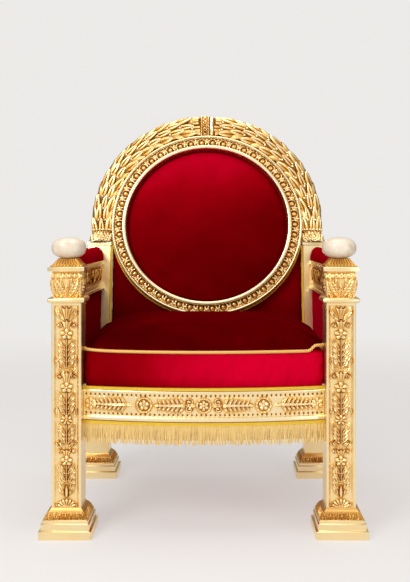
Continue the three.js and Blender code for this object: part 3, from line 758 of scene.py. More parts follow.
def back_post(x, name, node):
    """A square leg on the same foot, whose upper part leans back and carries the arch."""
    shape = Shape()
    centre = (x, BACK_FACE_Y + POST_HALF)
    add_foot(shape, centre)
    knee, top, stile_depth, soft = RAIL_TOP - 20, ARCH_FOOT - 12, 54, 0.7
    corners = columns(2, POST_HALF, 1.2)
    for side in range(4):
        post_face(shape, centre, side, [(78, POST_HALF), (knee + 1, POST_HALF)], corners)
    share = np.linspace(0, 1, 12)
    rear_foot = BACK_FACE_Y + 2 * POST_HALF
    front = raked(grid(0, 0, share * top))
    rear_top = raked((0, stile_depth, top))
    front_y = np.concatenate([[BACK_FACE_Y], front[:, 1]])[:, None]
    front_z = np.concatenate([[knee], front[:, 2]])[:, None]
    rear_y = rear_foot + (rear_top[1] - rear_foot) * np.concatenate([[0], share])[:, None]
    rear_z = np.concatenate([[knee], RAIL_TOP + (rear_top[2] - RAIL_TOP) * share])[:, None]
    inset = soft * (np.abs(corners) == 1)
    across = x + corners * (POST_HALF - inset)
    for y, z, edge, out in ((front_y, front_z, inset, -1), (rear_y, rear_z, -inset, 1)):
        shape.sheet(grid(across, y + edge, z), (0, out, 0))
    depth = columns(2, 30, 1.2)
    share = (depth + 1) / 2
    for way in (-1, 1):
        y = front_y + soft + (rear_y - front_y - 2 * soft) * share
        z = front_z + (rear_z - front_z) * share
        shape.sheet(grid(x + way * (POST_HALF - soft * (np.abs(depth) == 1)), y, z), (way, 0, 0))
    fillet = [(top - 1, 36), (top, 39.5), (top, 42), (ARCH_FOOT, 42), (ARCH_FOOT, 1)]
    rows = []
    for z, half in eased(fillet, 0.8):
        low, high, inner = 38 - half, 18 + half, half - 0.8
        rows.append([(-half, low + 0.8, z), (-inner, low, z), (inner, low, z), (half, low + 0.8, z),
                     (half, high - 0.8, z), (inner, high, z), (-inner, high, z), (-half, high - 0.8, z)])
    rows = raked(rows) + np.array([x, 0, 0])
    shape.sheet(rows, rows - rows.mean((0, 1)), wrap=(False, True))
    return shape.build(name, "gilding", [node])


# ---------- Ring and medallion ----------


def polar(radius, y, angle):
    """A point of the upright back on a flattened circle about the ring's centre."""
    return grid(radius * np.cos(angle), y, RING_HEIGHT + FLATTEN * radius * np.sin(angle))


def egg_and_dart(p, q, pitch, width):
    """p along the band from an egg's middle, q across it from its inner edge, in millimetres.
    Returns the heights and the painted shade at each point: the eggs and the ground are painted dark, with a
    painted highlight on each egg."""
    p = (p + pitch / 2) % pitch - pitch / 2
    egg = np.hypot(p / 9.2, (q - 10) / 10.5)
    husk = np.hypot(p / 9.2, (q - 8) / 11.6)
    rim = 8.5 * dome(((husk - 1.5) / 0.34) ** 2) * (q < width - 1)
    dart = 8.5 * np.clip(1.3 - np.abs(np.abs(p) - pitch / 2) / (0.4 + 0.24 * q), 0, 1)
    edge = np.clip(np.minimum(q, width - q) / 1.5, 0, 1)
    heights = np.maximum(np.maximum(7.5 * dome(egg ** 2), rim), dart) * edge
    # A painted highlight on each egg, taken off its painted shade.
    painted_highlight = np.exp(-((p + 2) ** 2 + (q - 12) ** 2) / 11)
    dark = np.where(egg < 1, 0.52 + 0.4 * egg ** 3 - 0.5 * painted_highlight, 0.3 * (heights < 1.2))
    return heights, dark


def ring_frame():
    """A bright rim each side of a sunk band of egg-and-dart, with a thin lip round the velvet."""
    eggs, band_radius = 50, 300
    angles = around(eggs * 18)
    inner, outer, sunk_y, rear_y = 288.0, 313.0, -13.0, 11.7
    profile = [(RING_INNER, y) for y in (rear_y, -12, -25.5)]
    profile += [(274.6, -28.6), (276, -30.4), (278.5, -31.2), (281, -31.4)]
    profile += [(283.2, -31.3), (285.4, -30.6), (286.8, -28.8), (287.5, -26), (287.8, -21)]
    profile += [(r, sunk_y) for r in np.linspace(inner + 0.4, outer, 19)]
    profile += [(318 - 4.9 * math.cos(t), -18 - 13 * math.sin(t) ** 0.5) for t in np.linspace(0, PI, 13)]
    profile += [(RING_OUTER, -16), (RING_OUTER, rear_y)]
    profile = np.array(profile)
    r, a = np.broadcast_arrays(profile[:, :1], angles)
    y = np.broadcast_to(profile[:, 1:], r.shape)
    band = y == sunk_y
    pitch = 2 * PI * band_radius / eggs
    heights, dark = egg_and_dart(a * band_radius, r - inner, pitch, outer - inner)
    heights = heights * band
    # Painted shade in the band's recesses and over the eggs; the rims stay bright, and the rear face below
    # is painted a little darker.
    hollow = np.where(band, 0.4 * cavity(heights, 4.5, 2) + dark, 0.0)
    shape = Shape()
    shape.sheet(polar(r, y - heights, a), (0, -1, 0), wrap=(False, True), hollow=hollow)
    back = polar(np.array([[RING_INNER], [RING_OUTER]]), rear_y, angles)
    shape.sheet(back, (0, 1, 0), wrap=(False, True), hollow=0.3)
    return shape.build("ring_egg_and_dart", "gilding", ["ring_frame"], place=raked)


# ---------- Laurel arch ----------

ARCH_MEAN = (1 + FLATTEN) / 2 * ARCH_RADIUS
ARCH_LENGTH = ARCH_HEIGHT - ARCH_FOOT + ARCH_MEAN * PI / 2
COLLAR_AT = ARCH_COLLAR - ARCH_FOOT


def branch_front(a, lift):
    """y of the half-round branch's front at a half widths across it, lifted."""
    top = np.sqrt(1 - 0.999 * a * a)
    return -2 - 13 * top - lift * (0.35 + 0.65 * top)


def on_arch(distance, a, lift, side):
    """A point on the half-round branch: distance up its line, a half widths across, lifted."""
    over = np.clip(np.abs(a) - 1, 0, None)
    a = np.clip(a, -1, 1)
    y = branch_front(a, lift) + 31 * over
    a = a * (1 + 0.8 * lift / ARCH_HALF)
    straight = ARCH_HEIGHT - ARCH_FOOT
    angle = np.clip(distance - straight, 0, None) / ARCH_MEAN
    rise = np.minimum(distance, straight) - straight
    x = side * (ARCH_RADIUS + a * ARCH_HALF) * np.cos(angle)
    z = ARCH_HEIGHT + rise + (FLATTEN * ARCH_RADIUS + a * ARCH_HALF) * np.sin(angle)
    return np.stack(np.broadcast_arrays(x, y, z), -1)


def branch_section(count):
    """Places across the branch's front from -1 to 1, even round its half circle."""
    return -np.cos(np.linspace(0, PI, count))


def laurel_leaf(shape, start, a0, side, length, width, turn):
    """A slender pointed leaf with a sunk midrib, its tip lifted over the next row."""
    t = np.linspace(0, 1, 15)[:, None]
    s = np.linspace(-1, 1, 9)[None, :]
    half = width / 2 * np.sin(PI * np.clip(t, 0.02, 0.99) ** 0.72) ** 0.75
    across = s * half + turn * (t - 0.2) * length
    crown = (1 - s ** 4) * np.sin(PI * t) ** 0.4
    rib = peak(s / 0.2) * np.sin(PI * t) ** 0.4
    lift = 0.2 + 5.6 * t ** 1.3 + 3.6 * crown - 3.2 * rib - 5 * (t > 0.985)
    lift = np.where(start + t * length > ARCH_LENGTH + STRAP_FROM, -4, lift)
    a = a0 + across / ARCH_HALF / max(0.5, math.sqrt(1 - 0.8 * min(1, a0 * a0)))
    points = on_arch(start + t * length, a, lift, side)
    # Painted shade: dark at the leaf's base under the row before, along its edges and in its midrib.
    hollow = np.clip(0.68 - 1.2 * t + 1.1 * s ** 4 + rib, 0, 1)
    beneath = on_arch(start + t * length, 0 * s + a0 * 0.4, -10, side)
    shape.sheet(points, points - beneath, hollow=hollow)


def berry(shape, start, a0, side, radius=4.6):
    centre = on_arch(np.array(start), np.array(a0), 4.5, side)
    v = np.linspace(0.04, PI - 0.04, 7)[:, None]
    u = around(8)
    unit = grid(np.sin(v) * np.cos(u), np.sin(v) * np.sin(u), np.cos(v))
    shape.sheet(centre + unit * radius, unit, wrap=(False, True), caps=True, hollow=0.05)


def laurel_arch():
    """Two branches that meet under the strap, each with its leaves, berries and foot."""
    shape = Shape()
    rows, leaf_length, leaf_width = 14, 66, 20
    first = COLLAR_AT - 16
    pitch = (ARCH_LENGTH - 14 - first - 50) / (rows - 1)
    d = np.linspace(0, ARCH_LENGTH, 120)[:, None]
    for side in (-1, 1):
        # Painted shade: the branch under the leaves fully dark between them, its flanks and rear a little
        # lighter.
        shape.sheet(on_arch(d, branch_section(15), -0.5 + 0 * d, side), (0, -1, 0), hollow=1.0)
        for edge in (-1, 1):
            flank = np.concatenate([on_arch(d, np.full((1, 1), edge), -0.5, side)] * 2, 1)
            flank[:, 1, 1] = ARCH_REAR
            out = edge * (flank - np.array([0, 0, ARCH_HEIGHT])) * np.array([1, 0, 1])
            shape.sheet(flank, out, hollow=0.35)
        rear = on_arch(d, np.array([[-1.0, 1.0]]), -0.5, side)
        rear[..., 1] = ARCH_REAR
        shape.sheet(rear, (0, 1, 0), hollow=0.3)
        for k in range(rows):
            for a0 in (-0.98, -0.36, 0.36, 0.98) if k % 2 else (-0.7, 0.0, 0.7):
                shift, stretch, lean = RNG.uniform(-1, 1, 3)
                laurel_leaf(shape, first + k * pitch + 4 * shift, a0, side, leaf_length + 4 * stretch,
                            leaf_width, 0.05 * lean + 0.07 * a0)
            at = first + (k + 1.0) * pitch + 12
            for a0 in () if at > ARCH_LENGTH - 38 else (0.0,) if k % 2 else (-0.35, 0.35):
                berry(shape, at, a0 + 0.05 * RNG.uniform(-1, 1), side)
                berry(shape, at + 7, a0 + 0.14 * RNG.choice((-1, 1)), side, 3.8)
        add_arch_foot(shape, side)
    add_strap(shape)
    return shape.build("laurel_wreath", "gilding", ["laurel_arch"], place=raked)


def add_arch_foot(shape, side):
    """A beaded collar, and below it a flare of palmette leaves."""
    a = branch_section(60)[None, :]
    d = np.linspace(-1, COLLAR_AT - 1, 28)[:, None]
    field = Relief(round_run(a, 36), d)
    field.add(blade, 0, 0, 0, (32, 17, 5), cuts=4)
    field.add(blade, 8, 0, 18, (33, 14, 4.6), cuts=4, pair=True)
    field.add(blade, 19, 0, 24, (32, 13, 4.4), cuts=4, pair=True)
    flare = 15 * (1 - np.clip(d / COLLAR_AT, 0, 1)) ** 1.3 * smooth_step(-0.5, 0.9, a)
    lift = field.heights + 1 + flare
    # Painted shade in the recesses of the leaves and the beads.
    shape.sheet(on_arch(d, a, lift, side), (0, -1, 0), hollow=cavity(field.heights))
    v = np.linspace(0, 1, 9)[:, None]
    beads = bead_row(round_run(a, 40), (v - 0.5) * 11, 8.9, 4.5, 4.6)
    lift = 3.2 * np.sin(PI * np.clip(v, 0.02, 0.98)) ** 0.5 + beads
    lift[[0, -1]] = -1
    shape.sheet(on_arch(COLLAR_AT - 2 + 12 * v, a, lift, side), (0, -1, 0), hollow=cavity(beads, 2.5, 2))


def round_run(a, half):
    """Distance round the branch's front in millimetres, for a from -1 to 1 across it."""
    return np.arcsin(np.clip(a, -1, 1)) * 2 / PI * half


def add_strap(shape):
    """The ribbon over the arch's crown: a scroll between two rows of beads, and a plain band."""
    x = np.linspace(STRAP_FROM, STRAP_TO, 49)[None, :]
    a = branch_section(60)[:, None]
    scroll_x, band_x, reach, crown = -7.5, 15.5, 17, ARCH_HEIGHT + FLATTEN * ARCH_RADIUS
    field = Relief(x - scroll_x, round_run(a, 38))
    for y, hand in ((-26, 1), (-9, -1), (9, 1), (26, -1)):
        field.add(coil, 0, y, 0, (8.5, 3.4), hand=hand)
    for edge in (-12, 12):
        field.heights = np.maximum(field.heights, bead_row(field.y, field.x - edge, 6.6, 3.0, 3.6))
    band = 3.2 * dome(((x - band_x) / 6.5) ** 2)
    groove = (np.abs(x - scroll_x) > 15.4) & (band < 0.5)
    lift = np.where(groove, -2.5, 2.6 + field.heights * (x < 8.5) + band) + 0 * a
    lift[:, [0, -1]] = -3
    # Painted shade: the grooves fully dark, the scroll darker in its recesses.
    hollow = np.where(groove, 1.0, np.where(x < 8.5, cavity(field.heights, 2.5, 2) + 0.1, 0.0))
    points = grid(x, branch_front(a, lift), crown + a * (ARCH_HALF + 0.8 * lift))
    shape.sheet(points, (0, -1, 0), hollow=hollow)
    rear, ends = ARCH_REAR + 3, np.array([[-reach, reach]])
    low, high = (crown + way * (ARCH_HALF + 2.4) for way in (-1, 1))
    # The strap's edges and rear are painted a little darker.
    for edge, level in ((-1, low), (1, high)):
        shape.sheet(grid(ends, np.array([[-3], [rear]]), level), (0, 0, edge), hollow=0.2)
    shape.sheet(grid(ends, rear, np.array([[low], [high]])), (0, 1, 0), hollow=0.2)


# ---------- Seat rail in front ----------


def front_frieze(x, z):
    """Rosettes, scrolls and sprays along the seat rail, between two rows of small notches."""
    field = Relief(x, z - FRIEZE_MIDDLE)
    add = field.add
    add(rosette, 0, 0, 0, (14, 6.5), petals=6)
    add(hoop, 0, 0, 0, (21, 5.0, 6))
    for way in (-1, 1):
        add(blade, way * 22, 0, way * 90, (26, 13, 5.0), cuts=3)
        add(coil, way * 38, 9.5, 0, (10, 4.6), hand=way)
        add(coil, way * 38, -9.5, 0, (10, 4.6), hand=-way)
        field.spray(way * 50, way, 74, 5.0, 30)
        add(rosette, way * 160, 0, 0, (14.5, 6.5), petals=5)
        add(hoop, way * 160, 0, 0, (22, 5.0, 6))
        add(blade, way * 190, 0, way * 90, (22, 10, 4.0), cuts=2)
        field.spray(way * 208, way, 84, 5.0, 30)
        add(rosette, way * 306, 0, 0, (17, 5.5), petals=6)
    return field.heights - 2.2 * notches(x, z)


def notches(x, z):
    """Two rows of short upright cuts along the frieze's edges, from 0 to 1."""
    pitch, row = 12.5, 25.4
    across = np.abs((x / pitch) % 1 - 0.5) * pitch
    along = np.abs(np.abs(z - FRIEZE_MIDDLE) - row)
    return np.clip(1.3 - across / 2.5, 0, 1) * np.clip(1.4 - along / 3.4, 0, 1)


def front_rail():
    """The bowed rail: its section runs up the front, over the top and down the rear."""
    sunk_in = 7
    front = [(4, 296), (4, 305), (1.2, 305.6), (0, 307), (0, 316), (1.2, 317.6)]
    front += [(sunk_in, z) for z in np.linspace(318.4, 378.6, 50)]
    front += [(1.2, 379.4), (0, 381), (0, 386), (1.5, 388)]
    setback, z = split(front + [(44, RAIL_TOP), (44, RAIL_BOTTOM)])
    x = np.linspace(-BOW_HALF, BOW_HALF, 520)[None, :]
    carved = setback == sunk_in
    heights = front_frieze(*np.broadcast_arrays(x, z)) * carved
    y = bow(x, setback) - heights
    cuts = notches(*np.broadcast_arrays(x, z))
    # Painted shade in the frieze's recesses and in its notches.
    hollow = np.where(carved, np.clip(0.9 * cavity(heights, 2.4, 2) + 0.6 * cuts, 0, 1), 0.04)
    out = grid(0, y - bow(x, 22), z - RAIL_MIDDLE)
    return single(grid(x, y, z), out, "seat_rail_front_carved", "gilding", ["seat_rail_front"],
                  (True, False), hollow=hollow)


def side_rail(side, name, node):
    """Plainer than the front rail: three rosettes with sprays between two fillets."""
    sunk_at = 31.5
    outer = [(36, 296), (36, 304), (34.5, 305), (33, 306.5)]
    outer += [(sunk_at, z) for z in np.linspace(308, 376, 40)]
    outer += [(33, 377.5), (34.5, 379), (36, 380), (36, 386.8), (34.8, 388)]
    reach, z = split(outer + [(-33, RAIL_TOP), (-33, RAIL_BOTTOM)])
    y = np.linspace(FRONT_Y + POST_HALF + 0.3, BACK_FACE_Y - 0.3, 300)[None, :]
    field = Relief(y - y.mean(), z - RAIL_MIDDLE)
    for at in (-150, 0, 150):
        field.add(rosette, at, 0, 0, (19, 6.0), petals=6)
        for way in (-1, 1):
            field.spray(at + way * 24, way, 44, 4.6, 26)
    carved = reach == sunk_at
    heights = field.heights * carved
    reach = reach + heights
    out = grid(side * reach, 0, z - RAIL_MIDDLE)
    # Painted shade: the carved band darker, most in its recesses.
    hollow = np.where(carved, cavity(heights) + 0.1, 0.08)
    return single(grid(side * (POST_X + reach), y, z), out, name, "gilding", [node], (True, False),
                  hollow=hollow)


def back_rail():
    """Plain, with a fillet along its top and bottom."""
    front, rear = BACK_Y - 22.2, BACK_Y + 22.4
    y, z = split([(front, 296), (front, 388), (rear - 3, 388), (rear, 386.5), (rear, 380), (rear - 3, 378.5),
                  (rear - 4.5, 376), (rear - 4.5, 308), (rear - 3, 305.5), (rear, 304), (rear, 296)])
    return single(grid(np.linspace(-326, 326, 3), y, z), grid(0, y - BACK_Y, z - RAIL_MIDDLE),
                  "seat_rail_back_moulded", "gilding", ["seat_rail_back"], (True, False), hollow=0.2)


# ---------- Arm rails ----------


def arm_frieze(y, z, length):
    field = Relief(y - length / 2, z - 673)
    add = field.add
    add(rosette, 0, 0, 0, (20, 6), petals=6)
    for way in (-1, 1):
        add(blade, way * 18, 0, way * 90, (34, 18, 5), cuts=3)
        for at, hand in ((62, way), (112, -way), (162, way), (212, -way)):
            add(coil, way * at, 0, 0, (20, 7), hand=hand, turns=1.8)
            for turn, bend in ((48, -0.2), (132, 0.2)):
                add(blade, way * (at + 16), 0, way * turn, (26, 13, 6.5), cuts=3, bend=bend * way)
    return field.heights


def arm_rail(side, name, node):
    """The rail's section runs up the inner face, over the top and down the outer face."""
    sunk_at = 21
    inner = [(27, 622), (27, 630), (25, 631), (23, 632), (23, 636.4), (25, 637.5), (26.2, 641), (25, 644.4)]
    inner += [(sunk_at, z) for z in np.linspace(646, 700, 38)]
    inner += [(25, 701.5), (27, 704), (27, 713), (25.6, ARM_TOP)]
    reach, z = split(inner + [(-a, level) for a, level in reversed(inner)])
    front = FRONT_Y + 30
    y = front + np.linspace(0, 1, 300) * (stile_front(z) - front)
    carved = np.abs(reach) == sunk_at
    heights = arm_frieze(y - front, z, 510) * carved
    offset = reach + np.sign(reach) * heights
    # Painted shade: the carved frieze painted darker all over, and darker still in its recesses.
    return single(grid(side * (ARM_X - offset), y, z), grid(-side * offset, 0, z - 668), name, "gilding",
                  [node], (True, False), hollow=np.where(carved, cavity(heights, 2.4, 2) + 0.42, 0.08))


# ---------- Braid, fringe and cord ----------


def woven(run, across, half):
    """Gimp: two threads that cross as waves between raised edges."""
    wave = 0.55 * half * np.sin(run * 2 * PI / 14)
    threads = [peak((across - way * wave) / 1.1) for way in (-1, 1)]
    edge = peak((np.abs(across) - 0.86 * half) / 0.8)
    twist = 0.85 + 0.15 * np.sin(run * 2 * PI / 2.8)
    return 1.3 * np.maximum(np.maximum(*threads), edge) * twist


def lengths_along(points):
    """Distance along a line at each of its points."""
    return np.concatenate([[0], np.cumsum(np.linalg.norm(np.diff(points, axis=0), axis=1))])


def braid_strip(path, across, out, width=9.0, thickness=2.6):
    """A flat braid along a path, with its width along across and its face towards out."""
    s, half = np.linspace(-1, 1, 9)[None, :], width / 2
    heights = thickness + woven(lengths_along(path)[:, None], s * half, half)
    heights[:, [0, -1]] = 0
    across, out = (np.broadcast_to(way, path.shape)[:, None, :] for way in (across, out))
    points = path[:, None, :] + across * (s * half)[..., None] + out * heights[..., None]
    # Painted shade between the threads.
    return points, cavity(heights, 1.6, 1)


def even_path(points, step):
    """Points spaced evenly along a line."""
    points = np.asarray(points, float)
    run = lengths_along(points)
    at = np.linspace(0, run[-1], max(2, int(run[-1] / step)))
    return np.stack([np.interp(at, run, points[:, i]) for i in range(3)], -1)


def front_gimp(name, node, z0):
    x = np.linspace(-BOW_HALF + 0.5, BOW_HALF - 0.5, 430)
    points, hollow = braid_strip(grid(x, bow(x, 0.3), z0 + 4.5), (0, 0, 1), (0, -1, 0))
    return single(points, (0, -1, 0), name, "braid", [node], hollow=hollow)


def tassel(shape, top, length, lean):
    """One twisted bullion cord, hanging."""
    radius, lay = 1.45, 9
    t = np.linspace(0, 1, 12)[:, None]
    a = around(6)
    lobe = np.cos(2 * (a - t * length * 2 * PI / lay))
    r = radius * (1 + 0.26 * lobe) * np.clip((1.04 - t) / 0.1, 0.25, 1) ** 0.5
    sway = t ** 1.6
    axis = grid(top[0] + lean[0] * sway, top[1] + lean[1] * sway, top[2] - length * t)
    points = axis + grid(r * np.cos(a), r * np.sin(a), 0)
    # Painted shade in the grooves of the twist.
    hollow = np.clip(0.3 - 0.45 * lobe, 0, 1)
    shape.sheet(points, points - axis, wrap=(False, True), caps=True, hollow=hollow)


def fringe(name, node, place, count, out):
    """Bullion fringe under a rail. place gives the x and y of the line for t from 0 to 1."""
    shape = Shape()
    top = RAIL_BOTTOM + 1
    clump = RNG.normal(0, 1.0, count + 8)
    for i in range(count):
        length = 52 + 1.0 * math.sin(i * 0.7) + RNG.uniform(-3.0, 1.8)
        lean = (1.6 * clump[i // 3] + RNG.normal(0, 1.2), RNG.normal(0, 1.2))
        x, y = place((i + 0.5) / count)
        depth = RNG.uniform(-0.9, 0.9)
        tassel(shape, (x + out[0] * depth, y + out[1] * depth, top), length, lean)
    # A sheet just behind the cords, painted half dark as the shade behind the fringe.
    line = np.array([place(v) for v in np.linspace(0, 1, 60)]) - 1.8 * np.array(out)
    cloth = grid(line[:, 0], line[:, 1], np.array([[top], [top - 40]]))
    shape.sheet(cloth, (*out, 0), hollow=0.5)
    return shape.build(name, "braid", [node], sharp=60, look="bullion")


# ---------- Upholstery ----------


def toward(start, end, reach):
    return start + (end - start) / np.linalg.norm(end - start) * reach


def seat_outline(inset, count=340):
    """Plan of the seat cushion as a loop. Its front is bowed, its corners are rounded, and it widens
    behind the front posts."""
    half, rear = SEAT_HALF - inset, SEAT_REAR_HALF - inset
    front, back = bow(half, inset + 4), SEAT_BACK - inset
    shoulder = front + SEAT_SHOULDER * (back - front)
    plan = [(-half, front), (half, front), (half, shoulder), (rear, shoulder), (rear, back)]
    plan = np.array(plan + [(-x, y) for x, y in plan[:1:-1]])
    loop = []
    for i, at in enumerate(plan):
        radius = 3 if i in (2, 7) else 12          # the shoulders are sharper than the corners
        start, end = toward(at, plan[i - 1], radius), toward(at, plan[(i + 1) % len(plan)], radius)
        for t in np.linspace(0, 1, 7):
            loop.append((1 - t) ** 2 * start + 2 * t * (1 - t) * at + t * t * end)
    loop = even_path(np.column_stack([loop + loop[:1], np.zeros(len(loop) + 1)]), 0.5)
    pick = np.linspace(0, len(loop) - 1, count, endpoint=False).astype(int)
    x, y = loop[pick, 0], loop[pick, 1]
    swell = bow(np.clip(x, -half, half), inset + 4) - front
    return np.column_stack([x, y + swell * np.clip((back - y) / (back - front), 0, 1)])


def cushion_shape():
    """Boxed cushion: straight walls up to the seam, and a crown above it. Each ring is a share of
    the plan, a height and an inset."""
    rings = [(0.02, 389, 0), (0.6, 389, 0), (0.97, 389, 2), (1.0, 391, 2)]
    rings += [(1.0, z, 2 - 2.5 * math.sin(PI * (z - 391) / 98)) for z in np.linspace(400, 482, 9)]
    rings += [(1.0, SEAT_SEAM, 3)]
    rings += [(share, SEAT_SEAM + 62 * (1 - share ** 3.2) ** 0.8, 3)
              for share in (0.985, 0.95, 0.9, 0.82, 0.72, 0.6, 0.45, 0.3, 0.15, 0.02)]
    rows = []
    for share, z, inset in rings:
        flat = SEAT_CENTRE + (seat_outline(inset) - SEAT_CENTRE) * share
        rows.append(grid(flat[:, 0], flat[:, 1], z))
    return np.array(rows)


def read(mesh, name):
    """A vector for each vertex of a mesh."""
    values = np.empty(len(mesh.vertices) * 3)
    mesh.vertices.foreach_get(name, values)
    return values.reshape(-1, 3)


def swell(piece, start, pressure, cap, held):
    """Blows a piece up as cloth, with each point kept within cap of where it started."""
    weights = piece.vertex_groups.new(name="held")
    pinned = np.flatnonzero(held(start / MM)).tolist() if held else []
    weights.add(pinned, 1.0, "REPLACE")
    cloth = piece.modifiers.new("Cloth", "CLOTH")
    settings = cloth.settings
    settings.vertex_group_mass = "held"
    settings.use_pressure = True
    settings.uniform_pressure_force = pressure
    settings.effector_weights.gravity = 0
    settings.tension_stiffness = settings.compression_stiffness = 20
    settings.bending_stiffness = 1.5
    settings.shrink_min = -0.02
    scene = bpy.context.scene
    for step in range(1, 21):
        scene.frame_set(step)
    bpy.ops.object.modifier_apply(modifier=cloth.name)
    scene.frame_set(1)
    moves = read(piece.data, "co") - start
    length = np.linalg.norm(moves, axis=1, keepdims=True)
    moved = start + moves * np.minimum(1, cap * MM / np.maximum(length, 1e-9))
    piece.data.vertices.foreach_set("co", moved.ravel())
    piece.vertex_groups.clear()


def stuffed(name, points, replaces, voxel, cap, pressure, held, painted_velvet_shade, crease=None):
    """Padded velvet: a closed form remeshed and swelled as cloth. held picks the points that stay
    pinned, the function after held gives each point's painted shade, and crease a height along the normals."""
    piece = single(points, points - points.mean((0, 1)), name, "velvet", replaces, (False, True), True,
                   sharp=180)
    bpy.context.view_layer.objects.active = piece
    for other in bpy.context.selected_objects:
        other.select_set(False)
    piece.select_set(True)
    piece.data.remesh_voxel_size = voxel * MM
    bpy.ops.object.voxel_remesh()
    start = read(piece.data, "co")
    swell(piece, start, pressure, cap, held)
    mesh = piece.data
    mesh.shade_smooth()
    if not mesh.materials:
        mesh.materials.append(LOOKS["velvet"])
    places, normals = read(mesh, "co") / MM, read(mesh, "normal")
    if crease:
        places = places + normals * crease(places)[:, None]
        mesh.vertices.foreach_set("co", (places * MM).ravel())
    # Each point's painted shade, stored for the velvet.
    lay = np.broadcast_to(painted_velvet_shade(places, normals), len(places))
    mesh.attributes.new("painted_velvet_shade", "FLOAT", "POINT").data.foreach_set("value", lay.astype(np.float32))
    mesh.update()
    return piece


def smooth_step(low, high, value):
    t = np.clip((value - low) / (high - low), 0, 1)
    return t * t * (3 - 2 * t)


def seat_cushion():
    """Painted shade darkens the crown, the left of the front and the lower boxing, so the crown looks darker
    than the boxed sides.
    """
    def held(p):
        half = np.where(p[:, 1] < FRONT_Y + 50, SEAT_HALF, SEAT_REAR_HALF)
        outer = (np.abs(p[:, 0]) > half - 14) | (p[:, 1] < bow(p[:, 0], 18)) | (p[:, 1] > SEAT_BACK - 14)
        return (p[:, 2] < 396) | ((np.abs(p[:, 2] - SEAT_SEAM) < 5) & outer)

    # Painted shade: the upward-facing crown dark, the front darker to the left and near its bottom.
    def painted_velvet_shade(p, n):
        crown = smooth_step(0.25, 0.7, n[:, 2]) * 0.92
        front = 0.52 - 0.52 * smooth_step(-300, 90, p[:, 0]) + 0.10 * smooth_step(430, 400, p[:, 2])
        return np.maximum(crown, front)

    def crease(p):
        """Pulls below the seam at the right front corner, and faint ones at the left."""
        below = smooth_step(SEAT_SEAM - 2, SEAT_SEAM - 14, p[:, 2]) * smooth_step(392, 430, p[:, 2])
        folds = 0
        for way, size in ((1, 2.6), (-1, 1.0)):
            dx = way * SEAT_HALF - p[:, 0]
            dz = SEAT_SEAM + 8 - p[:, 2]
            angle = np.arctan2(np.abs(dx), dz)
            folds = folds + size * np.sin(9 * angle + 0.4) * np.exp(-np.hypot(dx, dz) / 46)
        return folds * below * (p[:, 1] < FRONT_Y + 40)
    return stuffed("seat_cushion_velvet", cushion_shape(), ["seat_cushion"], 8, 14, 4.0, held, painted_velvet_shade,
                   crease)


def medallion():
    """The round pad inside the ring, domed in front and flat behind."""
    r = np.array([2, 60, 120, 180, 225, 250, 264, 271, 273, 273, 200, 2.0])[:, None]
    y = np.array([-25, -24.4, -22.5, -18.8, -14, -10.4, -7, -3, 1, 10, 10.5, 10.5])[:, None]
    a = around(120)
    points = raked(polar(r, y, a))

    # Painted shade: darker towards the bottom and a little darker to the right.
    def painted_velvet_shade(p, n):
        height = smooth_step(1090, 800, p[:, 2])
        return 0.14 + 0.46 * height + 0.12 * smooth_step(-200, 260, p[:, 0])
    return stuffed("back_medallion_velvet", points, ["back_medallion"], 9, 6, 3.0, None, painted_velvet_shade)


def arm_pad(side, name, node):
    start, end = FRONT_Y + POST_HALF + 11, stile_front(735) - 4
    a = np.linspace(0, PI, 22)
    t = np.linspace(0, 1, 30)[:, None]
    shrink = 0.8 + 0.2 * np.minimum(1, t * 22) ** 0.5
    rows = grid(side * ARM_X + 24 * shrink * np.cos(a), start + t * (end - start),
                ARM_TOP + 0.6 + 45 * shrink * np.sin(a) ** 0.8)
    # Painted shade: the outer face darker, the inner face lighter.
    return stuffed(name, rows, [node], 7, 5, 3.0, lambda p: p[:, 2] < ARM_TOP + 4,
                   lambda p, n: 0.45 + 0.1 * side * n[:, 0])


def side_panel(side, name, node):
    """Velvet from the seat rail up to the arm: a thin padded board."""
    front, low = FRONT_Y + POST_HALF + 0.6, 389
    z = np.linspace(low, 621.4, 12)[:, None]
    rear = stile_front(z) - 1.2
    y = front + (rear - front) * np.linspace(0, 1, 24)
    swelling = 2.5 * np.sin(PI * (z - low) / 232) * np.sin(PI * (y - front) / (rear - front)) ** 0.5
    inner = grid(side * (ARM_X - 18.5 - swelling), y, z)
    outer = grid(side * (ARM_X + 20), y[:, ::-1], z)
    # Painted light and shade: the right panel painted lighter as lit, the left darker as in shade.
    lay = 0.2 if side > 0 else 0.75
    return stuffed(name, np.concatenate([inner, outer], 1), [node], 11, 3, 2.0, None, lambda p, n: lay)


def back_panel():
    """Velvet behind and below the ring, between the stiles."""
    half = ARCH_RADIUS - ARCH_HALF - 1.4
    a = np.linspace(0, PI, 60)
    rise = FLATTEN * ARCH_RADIUS - ARCH_HALF - 1.4
    arc = np.column_stack([half * np.cos(a), ARCH_HEIGHT + rise * np.sin(a)])
    sides = [(-half, z) for z in np.linspace(ARCH_HEIGHT - 20, 40, 18)]
    foot = [(x, 12) for x in np.linspace(-half, half, 40)]
    outline = np.array([*arc, *sides, *foot, *[(-x, z) for x, z in reversed(sides)]])
    centre = np.array([0, 400.0])
    rows = []
    for share, y in ((0.02, 12), (0.4, 12), (0.7, 12.5), (0.9, 13.5), (0.97, 16), (1.0, 20), (1.0, 44),
                     (0.9, 45.5), (0.5, 45.5), (0.02, 45.5)):
        at = centre + (outline - centre) * share
        rows.append(grid(at[:, 0], y, at[:, 1]))
    # Painted shade, darker towards the bottom.
    return stuffed("back_panel_velvet", raked(rows), ["back_panel"], 12, 4, 2.0, None,
                   lambda p, n: 0.5 + 0.2 * smooth_step(640, 520, p[:, 2]))


